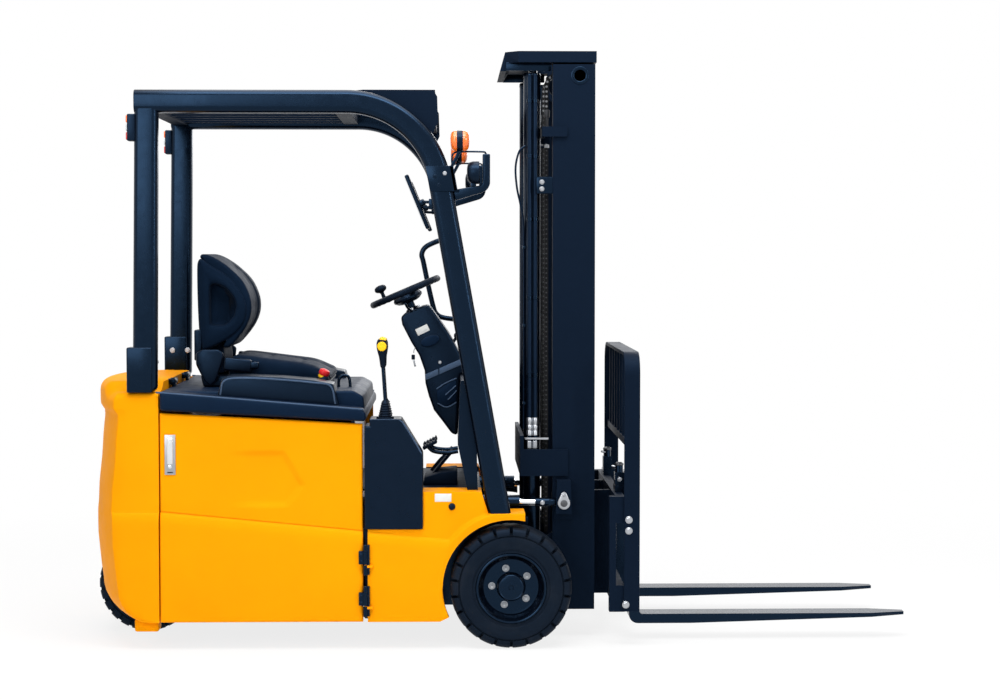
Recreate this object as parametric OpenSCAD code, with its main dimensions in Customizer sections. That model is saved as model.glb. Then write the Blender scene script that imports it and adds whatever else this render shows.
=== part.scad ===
// Three-wheel electric counterbalance forklift, in millimetres.
// X runs to the fork tips, Y to the truck's left, Z up; the origin is under the middle of the whole truck.
// Inside the modules X is counted from the front axle.

/* [Layout] */
// front axle to rear axle
wheelbase = 1410; // [1400:2:1440]
// rear axle to the tail of the counterweight
rear_overhang = 198; // [194:1:206]
// front axle to the upright face of the forks
load_distance = 496; // [490:1:510]
// fork length ahead of the upright face
fork_length = 1024; // [900:1:1200]
// width over the front tyres
overall_width = 1066; // [1060:1:1080]
// width over the side doors
body_width = 1040; // [1036:1:1044]
// underside of the body
sill_z = 103; // [98:1:110]
// top of the floor
floor_z = 584; // [583:1:586]

/* [Wheels] */
// front tyre diameter
front_tyre_d = 456; // [450:1:460]
// front tyre width
front_tyre_w = 173; // [168:1:176]
// front rim diameter under the tyre
front_rim_d = 268; // [250:1:280]
// spindle diameter in the front hubs
spindle_d = 80; // [70:1:84]
// wheel nuts on each front wheel
nut_count = 5; // [4:1:6]
// radius of the wheel nut circle
nut_circle_r = 69; // [66:1:74]
// lugs around each front tyre
front_lugs = 22; // [20:1:24]
// rear tyre diameter
rear_tyre_d = 380; // [376:1:382]
// width of one rear tyre
rear_tyre_w = 114; // [108:1:116]
// rear rim diameter under the tyre
rear_rim_d = 236; // [225:1:245]
// gap between the twin rear tyres
twin_gap = 60; // [58:1:66]
// lugs around each rear tyre
rear_lugs = 24; // [20:1:26]

/* [Rear body] */
// length of the counterweight
counterweight_l = 298; // [294:1:300]
// top of the counterweight
counterweight_z = 996; // [990:1:1004]
// shoulder of the counterweight under the guard's feet
shoulder_z = 961; // [956:1:966]
// radius of the space in which the twin wheels swing
swing_r = 256; // [254:1:258]
// top of that space
swing_z = 430; // [426:1:436]
// corner radius of the counterweight in plan
tail_corner_r = 180; // [170:1:190]
// diameter of the tow pin
tow_pin_d = 24; // [20:1:28]

/* [Battery and doors] */
// battery block along the truck
battery_l = 522; // [500:1:530]
// battery block across the truck
battery_w = 830; // [800:1:850]
// battery block height
battery_h = 627; // [600:1:650]
// front edge of the side doors behind the front axle
door_setback = 553; // [550:1:556]
// side door thickness
door_t = 34; // [30:1:36]
// top of the side doors at the rear
door_rear_z = 884; // [880:1:888]
// top of the side doors at the front
door_front_z = 843; // [840:1:848]
// height of the body's crease at the tail end of the doors
crease_rear_z = 514; // [505:1:520]
// height of the body's crease at the front end of the doors
crease_front_z = 440; // [436:1:446]
// how far the body above the crease stands back
upper_inset = 16; // [12:1:18]
// hinge pin diameter of the side doors
door_pin_d = 9; // [8:0.5:10]

/* [Hood and seating] */
// front end of the hood behind the front axle
hood_setback = 541; // [540:1:544]
// top of the raised platform under the seating
platform_z = 962; // [960:1:966]
// hinge pin radius of the hood
hood_pin_r = 6; // [5:0.5:7]
// top of the hood rim at the rear
hood_rear_z = 965; // [963:1:970]
// top of the hood rim at the front
hood_front_z = 902; // [900:1:908]
// width of the cushion
cushion_w = 470; // [440:1:490]
// width of the backrest
backrest_w = 440; // [420:1:470]
// top of the backrest
backrest_z = 1476; // [1460:1:1490]

/* [Cab] */
// rear face of the lever console behind the front axle
console_setback = 527; // [526:1:528]
// top of the lever console
console_z = 862; // [856:1:866]
// steering wheel diameter
steering_d = 300; // [290:1:306]
// lean of the steering wheel's axis to the rear
steering_lean = 23; // [20:1:26]
// top of the overhead guard
guard_z = 2080; // [2070:1:2090]
// height of the guard's tube section
guard_tube_h = 86; // [80:1:88]
// width of the guard's tube section
guard_tube_w = 60; // [56:1:62]
// bend radius of the guard's front corner
guard_bend_r = 350; // [340:1:360]
// lean of the front pillar
pillar_lean = 10.1; // [9.8:0.1:10.4]
// bars in the guard's roof
roof_bars = 7; // [5:1:9]

/* [Mast] */
// top of the lowered mast
mast_top_z = 2244; // [2236:1:2250]
// underside of the mast rails
mast_bottom_z = 109; // [106:1:112]
// rear edge of the mast rails ahead of the front axle
rail_x = 165; // [163:1:167]
// depth of the outer rail
rail_depth = 161; // [158:1:162]
// width over the outer rails
mast_w = 600; // [596:1:604]
// web thickness of the outer rail
rail_web = 12; // [10:1:13]
// flange thickness of the rails
rail_flange = 16; // [14:1:17]
// travel of the inner mast, and of the carriage in it
lift_travel = 1500; // [1400:10:1550]
// radius of the lifting eyes in the outer rails
eye_r = 22; // [20:1:24]
// lift cylinder barrel diameter
lift_barrel_d = 66; // [62:1:68]
// lift cylinder rod diameter
lift_rod_d = 40; // [36:1:42]
// spacing of the lift cylinders from the middle
lift_y = 222; // [218:1:224]
// pitch of the lift chain
chain_pitch = 19.05; // [15.875, 19.05]
// spacing of the chains from the middle
chain_y = 120; // [116:1:124]
// radius of the chain sheave to the middle of the chain
sheave_r = 52; // [51:0.5:53]
// pin of the tilt cylinder on the mast, ahead of the front axle
tilt_pin_x = 205; // [203:1:207]
// height of the tilt cylinder
tilt_pin_z = 527; // [525:1:529]
// rear pin of the tilt cylinder behind the front axle
tilt_anchor_x = 330; // [326:1:334]
// spacing of the tilt cylinders from the middle
tilt_y = 332; // [331:0.5:333]

/* [Carriage and forks] */
// width of the carriage bars
carriage_w = 960; // [940:2:970]
// underside of the lower carriage bar
carriage_bottom_z = 130; // [128:1:134]
// top of the upper carriage bar
carriage_top_z = 565; // [560:1:570]
// upright bars in the load backrest
rack_bars = 7; // [5:1:9]
// top of the load backrest
guard_rack_z = 1107; // [1090:1:1120]
// fork width
fork_w = 100; // [90:1:110]
// fork thickness at the heel
fork_t = 36; // [34:1:40]
// spacing of the fork middles from the truck's middle
fork_y = 298; // [290:1:304]
// underside of the forks
fork_z = 62; // [58:1:66]

/* [Hidden] */
$fn = 48;
overall_l = rear_overhang + wheelbase + load_distance + fork_length;
front_x = overall_l / 2 - fork_length - load_distance;
rear_x = -wheelbase;
tail_x = rear_x - rear_overhang;
weight_front_x = tail_x + counterweight_l;
hood_rear_x = weight_front_x + 6;
door_rear_x = weight_front_x + 4;
half_w = body_width / 2;
front_r = front_tyre_d / 2;
rear_r = rear_tyre_d / 2;
axle_z = front_r;
steer_z = rear_r;
tyre_out = overall_width / 2;
tyre_in = tyre_out - front_tyre_w;
clear = 0.3;
run_gap = 6;
bulkhead_rear_x = rear_x + swing_r + 4;
bulkhead_front_x = -door_setback - 44;
plate_t = 14;
inner_plate_y = tyre_in - 30;
arch_r = front_r + 28;
fender_top_z = 507;
cowl_z = 588;
cowl_rear_x = -329;
cowl_front_x = -110;
console_base_z = 451;
ledge = 44;
arch_lip = 24;
hinge_x = -door_setback + 10;
hinge_y = half_w + 9;
hood_hinge_x = weight_front_x + 15;
hood_hinge_z = hood_rear_z + 20;
king_r = 70;
king_top_z = swing_z + 90;
turret_r = 140;
tail_bow_r = 1100;
wheel_gap = twin_gap / 2;
rear_out = wheel_gap + rear_tyre_w;
rear_axle_r = 22;
mast_half = mast_w / 2;
rail_front = rail_x + rail_depth;
rail_lip = mast_half - 60;
outer_top_z = mast_top_z - 42 - 8;
inner_x = rail_x + 2;
inner_depth = rail_depth - 4;
inner_out = rail_lip - run_gap;
inner_in = inner_out - 50;
inner_web = inner_out - 29;
inner_bottom_z = mast_bottom_z + 12;
crosshead_z = mast_top_z - 42;
mast_mid_x = rail_x + rail_depth / 2;
head_x = -16;
outer_roller_r = (rail_depth - 2 * rail_flange) / 2 - 0.4;
inner_roller_r = (inner_depth - 2 * rail_flange) / 2 - 0.4;
lift_x = rail_x - 77;
barrel_base_z = 320;
barrel_top_z = 2150;
chain_x = rail_x - 17;
sheave_x = chain_x + sheave_r;
sheave_z = crosshead_z - 80;
chain_w = 22;
chain_h = 18;
anchor_z = 1935;
rear_strand_z = anchor_z - lift_travel - 45;
front_strand_z = 300;
tilt_rod_r = 14;
tilt_barrel_r = 28;
tilt_pin_r = 13;
tilt_l = tilt_pin_x + tilt_anchor_x;
trunnion_r = 46;
fork_face = load_distance;
shank_t = 40;
heel_r = 34;
bar_x = fork_face - shank_t - 62;
bar_t = 34;
carriage_half = carriage_w / 2;
rack_x = fork_face - 72;
rack_depth = 59;
rack_bar_z = 760;
rack_corner_r = 86;
guard_y = half_w - 5 - guard_tube_w / 2;
guard_rail_z = guard_z - guard_tube_h / 2;
pillar_turn = 90 - pillar_lean;
pillar_foot_x = -44;
pillar_foot_z = fender_top_z;
bend_end_z = guard_rail_z - guard_bend_r * (1 - cos(pillar_turn));
bend_end_x = pillar_foot_x - (bend_end_z - pillar_foot_z) * tan(pillar_lean);
bend_start_x = bend_end_x - guard_bend_r * sin(pillar_turn);
rear_pillar_x = weight_front_x - 50;
hood_fall = atan((hood_rear_z - hood_front_z) / (-hood_setback - 20 - hood_rear_x));
function hood_top(x) = hood_rear_z + (hood_front_z - hood_rear_z) * (x - hood_rear_x) / (-hood_setback - 20 - hood_rear_x);
function hood_under(x) = hood_rear_z - 30 + (hood_front_z - 4 - hood_rear_z) * (x - hood_rear_x - 30)
    / (-hood_setback - 60 - hood_rear_x);
// height of the crease along the side
function crease(x) = crease_rear_z + (crease_front_z - crease_rear_z) * (x - door_rear_x) / (-door_setback - door_rear_x);
function base_top(x) = 1010 - 0.05 * (x + 1190);
// front edge of the pillar at a height below its bend
function pillar_front(z) = pillar_foot_x + guard_tube_h / 2 * (cos(pillar_lean) + sin(pillar_lean) * tan(pillar_lean))
    - (z - pillar_foot_z) * tan(pillar_lean);
// rear edge of the same pillar, and of the rear pillar
function pillar_back(z) = pillar_front(z) - guard_tube_h * (cos(pillar_lean) + sin(pillar_lean) * tan(pillar_lean));
function pillar_rear(z) = rear_pillar_x - 46 + 16 * (z - shoulder_z) / (guard_z - shoulder_z);
lamp_x = -164;
signal_x = -190;
steering_x = -405;
steering_z = 1325;

// the truck's middle to the front axle
module at_axle() {
    translate([front_x, 0, 0]) children();
}

// the same thing on both sides
module both_sides() {
    children();
    mirror([0, 1, 0]) children();
}

// a side outline, thick from y0 to y1
module side_plate(points, y0, y1) {
    translate([0, y1, 0]) rotate([90, 0, 0]) linear_extrude(y1 - y0) polygon(points);
}

// a block between two corners
module block(a, b) {
    translate(a) cube(b - a);
}

// a round bar across the truck
module bar_y(r, x, z, y0, y1) {
    translate([x, y0, z]) rotate([-90, 0, 0]) cylinder(r = r, h = y1 - y0);
}

// an outline with its corners rounded, between two corners
module round_rect(a, b, r) {
    translate([a[0] + r, a[1]]) square([b[0] - a[0] - 2 * r, b[1] - a[1]]);
    translate([a[0], a[1] + r]) square([b[0] - a[0], b[1] - a[1] - 2 * r]);
    for (x = [a[0] + r, b[0] - r], y = [a[1] + r, b[1] - r]) translate([x, y]) circle(r);
}

// points on an arc of a side outline
function arc(x, z, r, a0, a1, n) = [for (i = [0:n]) [x + r * cos(a0 + (a1 - a0) * i / n), z + r * sin(a0 + (a1 - a0) * i / n)]];

module chassis_frame() {
    in_y = half_w - door_t - 12;
    at_axle() color("gold") difference() {
        union() {
            block([weight_front_x, -in_y, sill_z + 8], [bulkhead_rear_x, in_y, door_front_z - 12]);
            block([bulkhead_rear_x - 1, -in_y, sill_z + 8], [bulkhead_front_x + 1, in_y, sill_z + 24]);
            block([bulkhead_front_x, -in_y, sill_z + 8], [bulkhead_front_x + plate_t, in_y, hood_under(bulkhead_front_x + plate_t) - 0.5]);
            block([bulkhead_front_x, -inner_plate_y, sill_z + 30], [cowl_front_x - plate_t, inner_plate_y, sill_z + 44]);
            block([cowl_front_x - plate_t, -tilt_y + 47, sill_z + 30], [cowl_front_x, tilt_y - 47, floor_z - 8]);
            both_sides() {
                block([bulkhead_front_x, inner_plate_y - plate_t, sill_z + 30], [70, inner_plate_y, 470]);
                block([-tilt_anchor_x - 42, min(inner_plate_y - plate_t, tilt_y - 38), 430],
                    [-tilt_anchor_x + 42, max(inner_plate_y, tilt_y + 38), 476]);
                for (s = [-1, 1])
                    side_plate([[-tilt_anchor_x - 30, 470], [-tilt_anchor_x + 30, 470], [-tilt_anchor_x + 22, 556],
                        [-tilt_anchor_x - 22, 556]], tilt_y + s * 29 - 9, tilt_y + s * 29 + 9);
                bar_y(tilt_pin_r, -tilt_anchor_x, tilt_pin_z, tilt_y - 38, tilt_y + 38);
                block([bulkhead_front_x, inner_plate_y - 1, console_base_z - 40],
                    [-door_setback + 18, half_w - 46, console_base_z - 2]);
            }
        }
        translate([rear_x, 0, -1]) cylinder(r = swing_r, h = swing_z + 1);
        bar_y(trunnion_r + clear, 0, axle_z, -500, 500);
    }
}

// the front side panel with its fender, on the left
module front_panel() {
    skin = half_w - 30;
    face = half_w - upper_inset;
    foot = [-door_setback + 18, sill_z];
    flank = -arch_r - 10;
    difference() {
        union() {
            side_plate([foot, [foot[0], console_base_z - 2], [cowl_rear_x, console_base_z - 2], [cowl_rear_x, cowl_z],
                [cowl_front_x, cowl_z], [cowl_front_x, fender_top_z], [52, fender_top_z], [52, axle_z],
                [flank, axle_z], [flank, sill_z]], skin, face);
            side_plate([[cowl_front_x, fender_top_z], [52, fender_top_z], [52, axle_z], [-arch_r - 16, axle_z],
                [-arch_r - 16, axle_z + 80], [cowl_front_x - 60, fender_top_z - 30]], tyre_in + 6, face);
            block([cowl_rear_x, tyre_in + 6, cowl_z - 14], [cowl_front_x, face, cowl_z]);
            block([cowl_front_x - 14, tyre_in + 6, fender_top_z - 40], [cowl_front_x, face, cowl_z]);
            block([foot[0], tilt_y + 40, console_base_z - 16], [cowl_rear_x, face, console_base_z - 2]);
            block([foot[0], inner_plate_y, sill_z + 34], [foot[0] + 14, face, console_base_z - 10]);
            // below the crease and round the arch it stands out
            for (i = [0:4]) {
                d = i < 4 ? ledge * (1 - sin(i * 22.5 + 11)) : ledge;
                side_plate([foot, [foot[0], crease(foot[0]) - d], [flank + 40, crease(flank + 40) - d], [flank + 40, axle_z],
                    [flank, axle_z], [flank, sill_z]], face - 1, i < 4 ? face + upper_inset * cos(i * 22.5 + 11) : half_w);
            }
            intersection() {
                bar_y(arch_r + arch_lip, 0, axle_z, face - 1, half_w);
                block([-arch_r - arch_lip - 1, face - 2, axle_z], [52, half_w + 1, fender_top_z]);
            }
            // hinge pins of the door, each on a lug
            for (z = [190, 345]) {
                block([hinge_x, skin, z - 36], [foot[0] + 20, hinge_y + 6, z - 27]);
                translate([hinge_x, hinge_y, z - 36]) cylinder(d = door_pin_d, h = 64);
                translate([hinge_x, hinge_y, z - 36]) cylinder(r = 8, h = 9);
            }
        }
        bar_y(arch_r, 0, axle_z, 0, 900);
        block([0, 0, 0], [300, 900, axle_z + 40]);
    }
}

module front_panel_right() {
    at_axle() color("gold") mirror([0, 1, 0]) front_panel();
}

module front_panel_left() {
    at_axle() color("gold") front_panel();
}

// the counterweight's side outline, round at the top of the tail and cut away at its foot
module weight_side() {
    polygon(concat([[weight_front_x, sill_z], [weight_front_x, counterweight_z]],
        arc(tail_x + 56, counterweight_z - 42, 42, 90, 180, 8),
        [[tail_x + 14, 905], [tail_x + 32, 872], [tail_x + 24, 790], [tail_x + 4, 540], [tail_x, 480], [tail_x, 420],
            [tail_x + 8, 310]],
        arc(tail_x + 150, 228, 131, 172, 252, 10)));
}

// its plan outline, bowed at the tail and round at the corners
module weight_plan() {
    r = tail_corner_r;
    intersection() {
        union() {
            translate([tail_x + r, -half_w]) square([counterweight_l - r, body_width]);
            translate([tail_x - 1, -half_w + r]) square([r + 2, body_width - 2 * r]);
            for (s = [-1, 1]) translate([tail_x + r, s * (half_w - r)]) circle(r);
        }
        translate([tail_x + tail_bow_r, 0]) circle(tail_bow_r, $fn = 96);
    }
}

// its outline from behind: stood back above the crease, and crowned
module weight_back() {
    in_w = half_w - upper_inset;
    z = crease_rear_z + 6;
    half = concat([[half_w, 0], [half_w, z - 50]], arc(in_w, z - 50, upper_inset, 22.5, 67.5, 2),
        [[in_w, z], [in_w, shoulder_z - 20], [in_w - 6, shoulder_z], [half_w - 100, shoulder_z], [half_w - 160, counterweight_z + 1]]);
    polygon(concat(half, [for (i = [len(half) - 1:-1:0]) [-half[i][0], half[i][1]]]));
}

module counterweight() {
    at_axle() color("gold") difference() {
        union() {
            intersection() {
                translate([0, 700, 0]) rotate([90, 0, 0]) linear_extrude(1400) weight_side();
                linear_extrude(1200) weight_plan();
                translate([tail_x - 10, 0, 0]) rotate([90, 0, 90]) linear_extrude(counterweight_l + 10)
                    weight_back();
            }
            both_sides() block([rear_x + 2, half_w - 110, 62], [weight_front_x - 8, half_w - 40, sill_z + 2]);
            // lugs and pins of the hood hinges
            both_sides() {
                for (y = [150, 210])
                    block([weight_front_x - 1, y, hood_hinge_z - 12], [hood_hinge_x + 10, y + 20, hood_hinge_z + 10]);
                bar_y(hood_pin_r, hood_hinge_x, hood_hinge_z, 160, 220);
            }
        }
        translate([rear_x, 0, -1]) cylinder(r = swing_r, h = swing_z + 1);
        translate([rear_x, 0, 0]) cylinder(r = king_r + clear, h = king_top_z + 4);
        // jaw and bore of the tow pin
        block([tail_x - 1, -60, 600], [tail_x + 100, 60, 680]);
        translate([tail_x + 52, 0, 540]) cylinder(d = tow_pin_d + 2 * clear, h = 260);
        block([tail_x - 1, -60, 740], [tail_x + 100, 60, 860]);
    }
}

module tow_pin() {
    at_axle() color("silver") translate([tail_x + 52, 0, 541]) {
        cylinder(d = tow_pin_d, h = 205);
        translate([0, 0, 199]) cylinder(d = tow_pin_d + 16, h = 12);
        translate([0, 0, 235]) rotate([90, 0, 0]) rotate_extrude() translate([28, 0]) circle(6);
    }
}

module battery_block() {
    at_axle() color("dimgray") block([bulkhead_rear_x + 12, -battery_w / 2, sill_z + 24],
        [bulkhead_rear_x + 12 + battery_l, battery_w / 2, sill_z + 24 + battery_h]);
}

module front_axle() {
    at_axle() color("dimgray") both_sides() {
        bar_y(trunnion_r, 0, axle_z, -1, inner_plate_y + 12);
        bar_y(84, 0, axle_z, 30, 236);
        bar_y(62, 0, axle_z, inner_plate_y + 0.0, tyre_in + 10);
        bar_y(spindle_d / 2, 0, axle_z, tyre_in, tyre_out - 60);
    }
}

module floor_plate() {
    at_axle() color("dimgray") {
        block([bulkhead_front_x + plate_t, -tyre_in - 6, floor_z - 8], [cowl_front_x - 14, tyre_in + 6, floor_z]);
        // pedals
        for (y = [-150, -40]) {
            side_plate([[-330, floor_z - 1], [-318, floor_z - 1], [-214, 706], [-224, 712]], y - 34, y + 34);
        }
    }
}

module front_cowl() {
    w = guard_y - guard_tube_w / 2 - 8;
    x = cowl_front_x - 14;
    at_axle() color("dimgray") {
        side_plate([[-160, floor_z], [x, floor_z], [x - 8, 1000], [-188, 1000], [-199, 760]], -tyre_in - 4, tyre_in + 4);
        side_plate([[-163, cowl_z], [x, cowl_z], [x - 8, 1000], [-188, 1000], [-199, 760]], -w, w);
    }
}

module steering_column() {
    at_axle() color("dimgray") {
        side_plate([[-420, 1228], [-310, 1276], [-163, 1046], [-167, 1000.3], [-188.3, 1000.3], [-199.3, 760],
            [-252, 826], [-328, 1004]], -75, 75);
        translate([steering_x, 0, steering_z]) rotate([0, -steering_lean, 0]) translate([0, 0, -95])
            cylinder(r = 16, h = 75);
    }
}

module steering_wheel() {
    at_axle() color("black") translate([steering_x, 0, steering_z]) rotate([0, -steering_lean, 0]) {
        rotate_extrude($fn = 64) translate([steering_d / 2 - 13, 0]) circle(13);
        difference() {
            translate([0, 0, -44]) cylinder(r = 38, h = 54);
            translate([0, 0, -45]) cylinder(r = 16 + clear, h = 26);
        }
        for (a = [60, 180, 300]) rotate([0, 0, a]) block([20, -18, -9], [steering_d / 2 - 18, 18, 3]);
        translate([-steering_d / 2 * 0.6, steering_d / 2 * 0.6, 0]) cylinder(r = 17, h = 62);
    }
}

module lever_console() {
    back = -door_setback + 7;
    at_axle() color("dimgray") side_plate([[back, console_base_z - 2], [cowl_rear_x, console_base_z - 2],
        [cowl_rear_x, 729], [cowl_rear_x - 81, console_z], [-console_setback, console_z], [-console_setback, 836],
        [back, 836]], -half_w + 4, -tilt_y - 42);
}

module control_levers() {
    at_axle() color("black") for (y = [-478, -428, -384]) {
        translate([-473, y, console_z]) {
            cylinder(r1 = 20, r2 = 11, h = 74);
            cylinder(r = 6, h = 230);
            translate([0, 0, 246]) sphere(19);
        }
    }
}

// side outline of the guard: rail, bend, front pillar and rear pillar
module guard_outline() {
    h = guard_tube_h / 2;
    skew = h * (cos(pillar_lean) + sin(pillar_lean) * tan(pillar_lean));
    bend_z = guard_rail_z - guard_bend_r;
    polygon(concat([[rear_pillar_x - 46, shoulder_z], [rear_pillar_x - 30, guard_z]],
        arc(bend_start_x, bend_z, guard_bend_r + h, 90, pillar_lean, 20),
        [[pillar_foot_x + skew, pillar_foot_z], [pillar_foot_x - skew, pillar_foot_z]],
        arc(bend_start_x, bend_z, guard_bend_r - h, pillar_lean, 90, 20),
        [[rear_pillar_x + 60, guard_z - 2 * h], [rear_pillar_x + 46, shoulder_z]]));
}

// the guard's side frame, on the left
module guard_frame() {
    translate([0, guard_y + guard_tube_w / 2, 0]) rotate([90, 0, 0]) linear_extrude(guard_tube_w) guard_outline();
    block([rear_pillar_x - 64, guard_y - guard_tube_w / 2 - 4, shoulder_z],
        [rear_pillar_x + 30, guard_y + guard_tube_w / 2 + 4, 1129]);
}

module guard_frame_right() {
    at_axle() color("black") mirror([0, 1, 0]) guard_frame();
}

module guard_frame_left() {
    at_axle() color("black") guard_frame();
}

module guard_roof() {
    w = guard_y - guard_tube_w / 2;
    x0 = rear_pillar_x - 20;
    x1 = -290;
    at_axle() color("black") {
        block([x0, -w, guard_z - 70], [x0 + 60, w, guard_z - 14]);
        block([bend_start_x - 60, -w, guard_z - 66], [bend_start_x, w, guard_z - 8]);
        block([-300, -w, 1975], [-282, w, guard_z + 4]);
        both_sides() side_plate([[bend_start_x - 20, guard_z - 30], [bend_start_x - 20, guard_z - 4],
            [bend_start_x + 60, guard_z + 4], [-290, guard_z + 4], [-274, 2060], [-271, 1965], [-300, 1902], [-330, 1915],
            [-380, 1975], [-460, 2028]], w - 12, w);
        for (i = [0:roof_bars - 1]) {
            y = -w + 2 * w * (i + 0.5) / roof_bars;
            block([x0 + 40, y - 11, guard_z - 64], [bend_start_x - 30, y + 11, guard_z - 16]);
        }
    }
}

// clamps on the front pillars, lamp bodies and the bars bent round them
module headlamps() {
    out = guard_y + guard_tube_w / 2;
    at_axle() color("black") both_sides() {
        side_plate([[pillar_back(1800), 1800], [pillar_front(1800) + 16, 1800], [pillar_front(1705) + 16, 1705],
            [pillar_back(1705), 1705]], out + clear, out + 9);
        side_plate([[pillar_front(1800) + clear, 1800], [pillar_front(1800) + 16, 1800], [pillar_front(1705) + 16, 1705],
            [pillar_front(1705) + clear, 1705]], guard_y - 26, out + 9);
        side_plate(concat([[pillar_front(1712) + clear, 1712], [pillar_front(1672) + clear, 1672]],
            arc(-120, 1742, 42, 285, 360, 6), [[-78, 1845], [-106, 1845]], arc(-120, 1742, 14, 360, 285, 4)),
            guard_y - 13, guard_y + 13);
        translate([lamp_x, guard_y, 1776]) rotate([0, 90, 0]) cylinder(r = 43, h = 46);
        block([lamp_x + 14, guard_y - 10, 1714], [lamp_x + 32, guard_y + 10, 1740]);
        side_plate([[pillar_front(1796) + 2, 1796], [pillar_front(1796) + 15, 1796], [signal_x + 8, 1856], [signal_x - 8, 1856]],
            guard_y - 8, guard_y + 8);
    }
}

// double-faced signal lamps above them
module signal_lamps() {
    at_axle() color("orange") both_sides() difference() {
        translate([signal_x - 35, guard_y, 1893]) rotate([0, 90, 0]) cylinder(r = 39, h = 70);
        block([signal_x - 9, guard_y - 9, 1840], [signal_x + 9, guard_y + 9, 1856 + clear]);
    }
}

module rear_lamps() {
    at_axle() color("red") both_sides() side_plate([[pillar_rear(1890) - clear, 1890], [pillar_rear(1990) - clear, 1990],
        [pillar_rear(1990) - 26, 1990], [pillar_rear(1890) - 26, 1890]], guard_y - 24, guard_y + 24);
}

module mirrors() {
    y = guard_y - guard_tube_w / 2;
    at_axle() color("black") both_sides() {
        side_plate([[-398, 1766], [-386, 1772], [-304, 1572], [-316, 1566]], y - 160, y - 12);
        block([-352, y - 22, 1642], [pillar_front(1640) - 40, y, 1676]);
    }
}

// a bent grip on the rear side of the left pillar
module grab_handle() {
    top = 1522;
    low = 1200;
    out = 92;
    bar = 26;
    at_axle() color("black") side_plate([[pillar_back(top) - clear, top], [pillar_back(top) - out + 30, top + 8],
        [pillar_back(top) - out, top - 18], [pillar_back(low) - out, low + 22], [pillar_back(low) - out + 20, low - 4],
        [pillar_back(low) - clear, low], [pillar_back(low + bar) - clear, low + bar],
        [pillar_back(low + bar) - out + bar + 6, low + bar], [pillar_back(top - bar) - out + bar, top - bar - 2],
        [pillar_back(top - bar) - clear, top - bar]], guard_y - 13, guard_y + 13);
}

module hood_lid() {
    at_axle() color("dimgray") difference() {
        union() {
            side_plate([[hood_rear_x, door_rear_z + 8], [-hood_setback, door_front_z + 8],
                [-hood_setback, hood_front_z - 20], [-hood_setback - 20, hood_front_z], [hood_rear_x, hood_rear_z]],
                -half_w + 2, half_w - 2);
            side_plate([[hood_rear_x + 40, platform_z - 12], [hood_rear_x + 60, platform_z], [-hood_setback - 50, platform_z],
                [-hood_setback - 12, platform_z - 22], [-hood_setback - 6, hood_front_z - 40], [-1000, hood_front_z]],
                -430, 430);
            both_sides() {
                // raised side pad, and the knuckle of the hinge
                side_plate([[-1096, hood_top(-1096) - 1], [-642, hood_top(-642) - 1], [-664, 992], [-800, 1016],
                    [-1060, 1022]], 330, 470);
                bar_y(12, hood_hinge_x, hood_hinge_z, 173, 207);
                block([hood_hinge_x - 5, 173, hood_top(hood_hinge_x) - 12], [hood_hinge_x + 9, 207, hood_hinge_z]);
            }
        }
        bar_y(hood_pin_r + clear, hood_hinge_x, hood_hinge_z, -300, 300);
        // the rolled edge along each side
        both_sides() translate([hood_rear_x, half_w - 2, hood_rear_z]) rotate([0, hood_fall, 0]) rotate([45, 0, 0])
            cube([1700, 22, 22], center = true);
        side_plate([[hood_rear_x + 30, door_rear_z - 30], [-hood_setback - 30, door_front_z - 30],
            [-hood_setback - 30, hood_front_z - 34], [hood_rear_x + 30, hood_rear_z - 30]], -half_w + 30, half_w - 30);
    }
}

module seat_base() {
    at_axle() color("black") {
        side_plate([[-1180, platform_z], [-700, platform_z], [-690, base_top(-690)], [-1190, base_top(-1190)]], -210, 210);
    }
}

module seat_cushion() {
    at_axle() color("dimgray") intersection() {
        side_plate(concat([[-1090, base_top(-1090)], [-690, base_top(-690)]], arc(-718, 1024, 36, 0, 80, 5), [[-1080, 1099]]),
            -cushion_w / 2, cushion_w / 2);
        translate([0, 0, 900]) linear_extrude(300) round_rect([-1091, -cushion_w / 2], [-681, cushion_w / 2], 56);
    }
}

// the backrest, a D from the side, round at its upper corners
module seat_backrest() {
    at_axle() color("dimgray") intersection() {
        side_plate(concat([[-1186, base_top(-1186)], [-1104, base_top(-1104)], [-1101, 1108]],
            arc(-1165, 1250, 156, -62, 65, 10), arc(-1162, backrest_z - 36, 36, 60, 175, 6), [[-1200, 1300]]),
            -backrest_w / 2, backrest_w / 2);
        translate([-1300, 0, 0]) rotate([90, 0, 90]) linear_extrude(400)
            round_rect([-backrest_w / 2, 900], [backrest_w / 2, backrest_z + 1], 74);
    }
}

module stop_button() {
    at_axle() color("red") translate([-710, -283, platform_z]) cylinder(r = 21, h = 80);
}

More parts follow.
